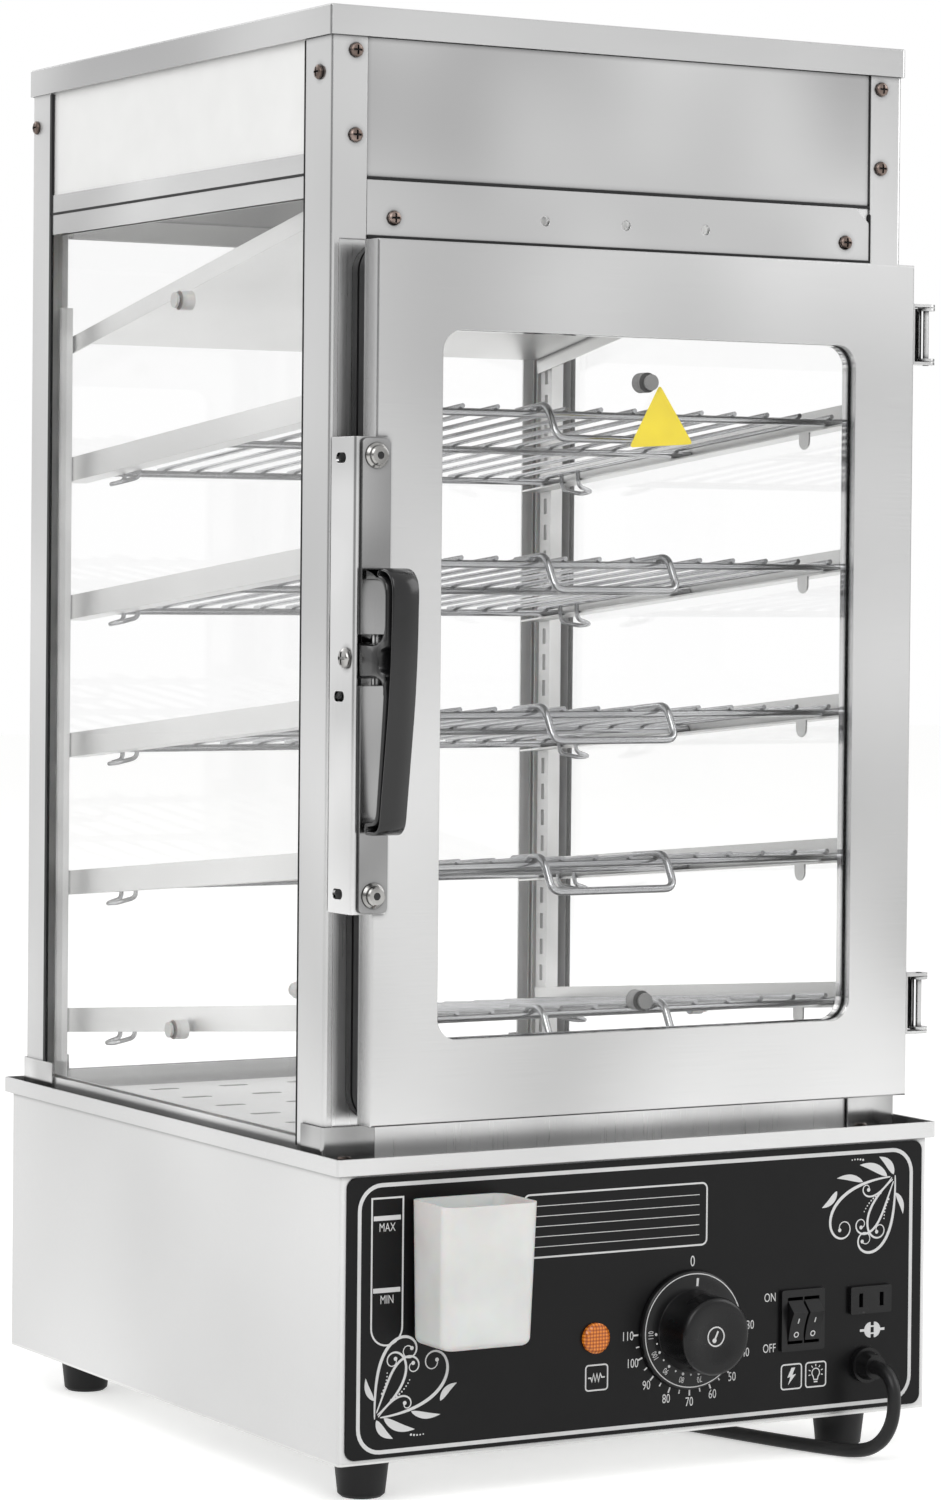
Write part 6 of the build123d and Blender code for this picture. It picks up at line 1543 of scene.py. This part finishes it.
@dataclass
class Studio:
    """Pale floor, white surroundings and three soft lamps."""

    floor_half: float = 9.0
    floor_shade: str = "#E9E9E8"
    floor_lift: float = 0.46
    sky: float = 0.62
    dark_way: Point3 = (-0.93, -0.36, 0.05)
    dark_edges: Point2 = (0.72, 0.97)
    mirror_light: float = 0.95
    mirror_dark: float = 0.3
    aim: Point3 = (0.0, 0.0, 0.38)
    # Name, place in metres, power in watts and side of the square in metres
    lamps: tuple[tuple[str, Point3, float, float], ...] = (
        ("key_lamp", (-2.2, -2.4, 2.7), 62.0, 2.4),
        ("side_lamp", (2.9, -1.6, 1.9), 34.0, 2.2),
        ("back_lamp", (-1.4, 3.0, 2.6), 20.0, 2.2),
    )

    def ray_mix(self, tree: Tree, *kinds: str) -> Socket:
        """Factor that is 1 for the named kinds of ray and 0 for the rest."""
        path = add_node(tree, "ShaderNodeLightPath")
        total = path.outputs[kinds[0]]
        for kind in kinds[1:]:
            total = output(tree, "ShaderNodeMath", {0: total, 1: path.outputs[kind]}, operation="MAXIMUM")
        return total

    def floor(self) -> None:
        """Lays the floor, which keeps the object's shadow on a near white ground."""
        half = self.floor_half
        corners = [(-half, -half, 0.0), (half, -half, 0.0), (half, half, 0.0), (-half, half, 0.0)]
        mesh = bpy.data.meshes.new("floor")
        mesh.from_pydata(corners, [], [(0, 1, 2, 3)])
        paint = bpy.data.materials.new("pale_matt_floor")
        paint.use_nodes = True
        tree = paint.node_tree
        tree.nodes.clear()
        seen = self.ray_mix(tree, "Is Camera Ray", "Is Glossy Ray", "Is Transmission Ray")
        inputs = {
            "Base Color": linear(self.floor_shade),
            "Roughness": 0.9,
            "Specular IOR Level": 0.1,
            "Emission Color": (1.0, 1.0, 1.0, 1.0),
            "Emission Strength": output(tree, "ShaderNodeMath", {0: seen, 1: self.floor_lift}, operation="MULTIPLY"),
        }
        surface = output(tree, "ShaderNodeBsdfPrincipled", inputs)
        add_node(tree, "ShaderNodeOutputMaterial", {"Surface": surface})
        mesh.materials.append(paint)
        put("floor", mesh)

    def world(self) -> None:
        """White to the camera and through glass, and a soft gradient in what metal mirrors."""
        sky = bpy.data.worlds.new("white_room")
        bpy.context.scene.world = sky
        sky.use_nodes = True
        tree = sky.node_tree
        tree.nodes.clear()
        way = {0: add_node(tree, "ShaderNodeTexCoord").outputs["Generated"], 1: self.dark_way}
        toward = add_node(tree, "ShaderNodeVectorMath", way, operation="DOT_PRODUCT").outputs["Value"]
        either = output(tree, "ShaderNodeMath", {0: toward}, operation="ABSOLUTE")
        inputs = {"Value": either, "From Min": self.dark_edges[0], "From Max": self.dark_edges[1]}
        inputs |= {"To Min": self.mirror_light, "To Max": self.mirror_dark}
        mirrored = output(tree, "ShaderNodeMapRange", inputs, interpolation_type="SMOOTHSTEP")
        glossy = self.ray_mix(tree, "Is Glossy Ray")
        seen = self.ray_mix(tree, "Is Camera Ray", "Is Transmission Ray")
        first = output(tree, "ShaderNodeMix", {0: glossy, 2: self.sky, 3: mirrored})
        level = output(tree, "ShaderNodeMix", {0: seen, 2: first, 3: 1.0})
        light = output(tree, "ShaderNodeBackground", {"Color": (1.0, 1.0, 1.0, 1.0), "Strength": level})
        add_node(tree, "ShaderNodeOutputWorld", {"Surface": light})

    def build(self) -> None:
        """Sets up floor, world and square lamps that point at the middle of the object."""
        self.floor()
        self.world()
        for name, place, power, size in self.lamps:
            data = bpy.data.lights.new(name, "AREA")
            data.energy, data.shape, data.size = power, "SQUARE", size
            holder = put(name, data)
            holder.location = place
            holder.rotation_euler = (Vector(self.aim) - Vector(place)).to_track_quat("-Z", "Y").to_euler()
        bpy.context.scene.view_settings.view_transform = "Standard"


@dataclass
class Viewpoint:
    """Camera at the photograph's place, found by fitting the solid model's corners to it."""

    place: Point3 = (-1.1687, -2.0487, 0.4478)
    yaw: float = -29.863
    pitch: float = -0.984
    roll: float = 0.530
    lens: float = 106.73
    shift_y: float = -0.0667

    def build(self) -> None:
        """Creates the camera and makes it the scene's own."""
        data = bpy.data.cameras.new("camera")
        data.sensor_width, data.sensor_fit, data.lens = 36.0, "AUTO", self.lens
        data.shift_y = self.shift_y
        data.clip_start, data.clip_end = 0.05, 60.0
        turns = ((self.yaw, "Z"), (self.pitch, "X"), (90.0, "X"), (self.roll, "Z"))
        placed = Matrix.Translation(self.place)
        for angle, axis in turns:
            placed = placed @ Matrix.Rotation(math.radians(angle), 4, axis)
        holder = put("camera", data)
        holder.matrix_world = placed
        bpy.context.scene.camera = holder


def dress_solids(frame: dict[str, Any]) -> None:
    """Gives every solid that stays in view its finish.

    Args:
        frame: The loaded frame.
    """
    finishes: dict[Finish, tuple[str, ...]] = {
        BASE_STEEL: ("base_shell", "rim_tray"),
        CLIP_STEEL: ("post_clips",),
        BRUSHED: ("top_cover", "cabinet_hinges", "door_front", "door_hinges", "latch_keeper"),
        RAIL_STEEL: ("glass_rails",),
        BRUSHED_UPRIGHT: ("front_posts",),
        REAR_STEEL: ("rear_posts",),
        ZINC: ("shelf_standards",),
        POLISHED: ("header_panels", "vent_strip"),
        INNER_STEEL: (
            "base_bottom", "water_tank", "steam_plate", "ceiling_baffle", "shelf_brackets", "float_guide", "heater"
        ),
        JAMB_STEEL: ("door_jamb",),
        MIRROR: ("door_back",),
        LATCH_CHROME: ("latch_channel",),
        LATCH_PLATE: ("latch_plate",),
        SCREW_BRIGHT: ("latch_screws", "latch_spring"),
        BRASS: ("thermostat", "drain_valve"),
        PANEL_FILM: ("control_panel",),
        BLACK_ABS: ("switch_body", "outlet_socket", "cord_gland", "power_rocker", "light_rocker"),
        RUBBER: ("feet", "door_gasket", "drain_lever"),
        GREY_RUBBER: ("filler_pipe", "door_bushes"),
        SEAL_RUBBER: ("glass_seals", "glass_bushes"),
        MILKY: ("filler_cup", "float_ball"),
        OPAL: ("side_headers",),
        WHITE_ENAMEL: ("header_lamp",),
        AMBER: ("indicator_lamp",),
        GLASS: ("glass_panes", "door_glass"),
        CORD_PVC: ("plug",),
    }
    for finish, names in finishes.items():
        dress(frame, finish, *names)


def main() -> None:
    """Builds the steamer's visual model and the studio around it."""
    logging.basicConfig(level=logging.INFO, format="%(name)s: %(message)s")
    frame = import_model()
    dress_solids(frame)
    ControlPanel().build()
    Knob().build()
    Fasteners().build()
    LatchLever().build(frame)
    grid = shelf_tree()
    for level in range(SHELF_COUNT):
        WireShelf(level).build(grid)
    for part in (Rockers(), Sticker(), SealantBeads(), PowerCord(), Studio(), Viewpoint()):
        part.build()
    log.info("sizes written")


if __name__ == "__main__":
    main()
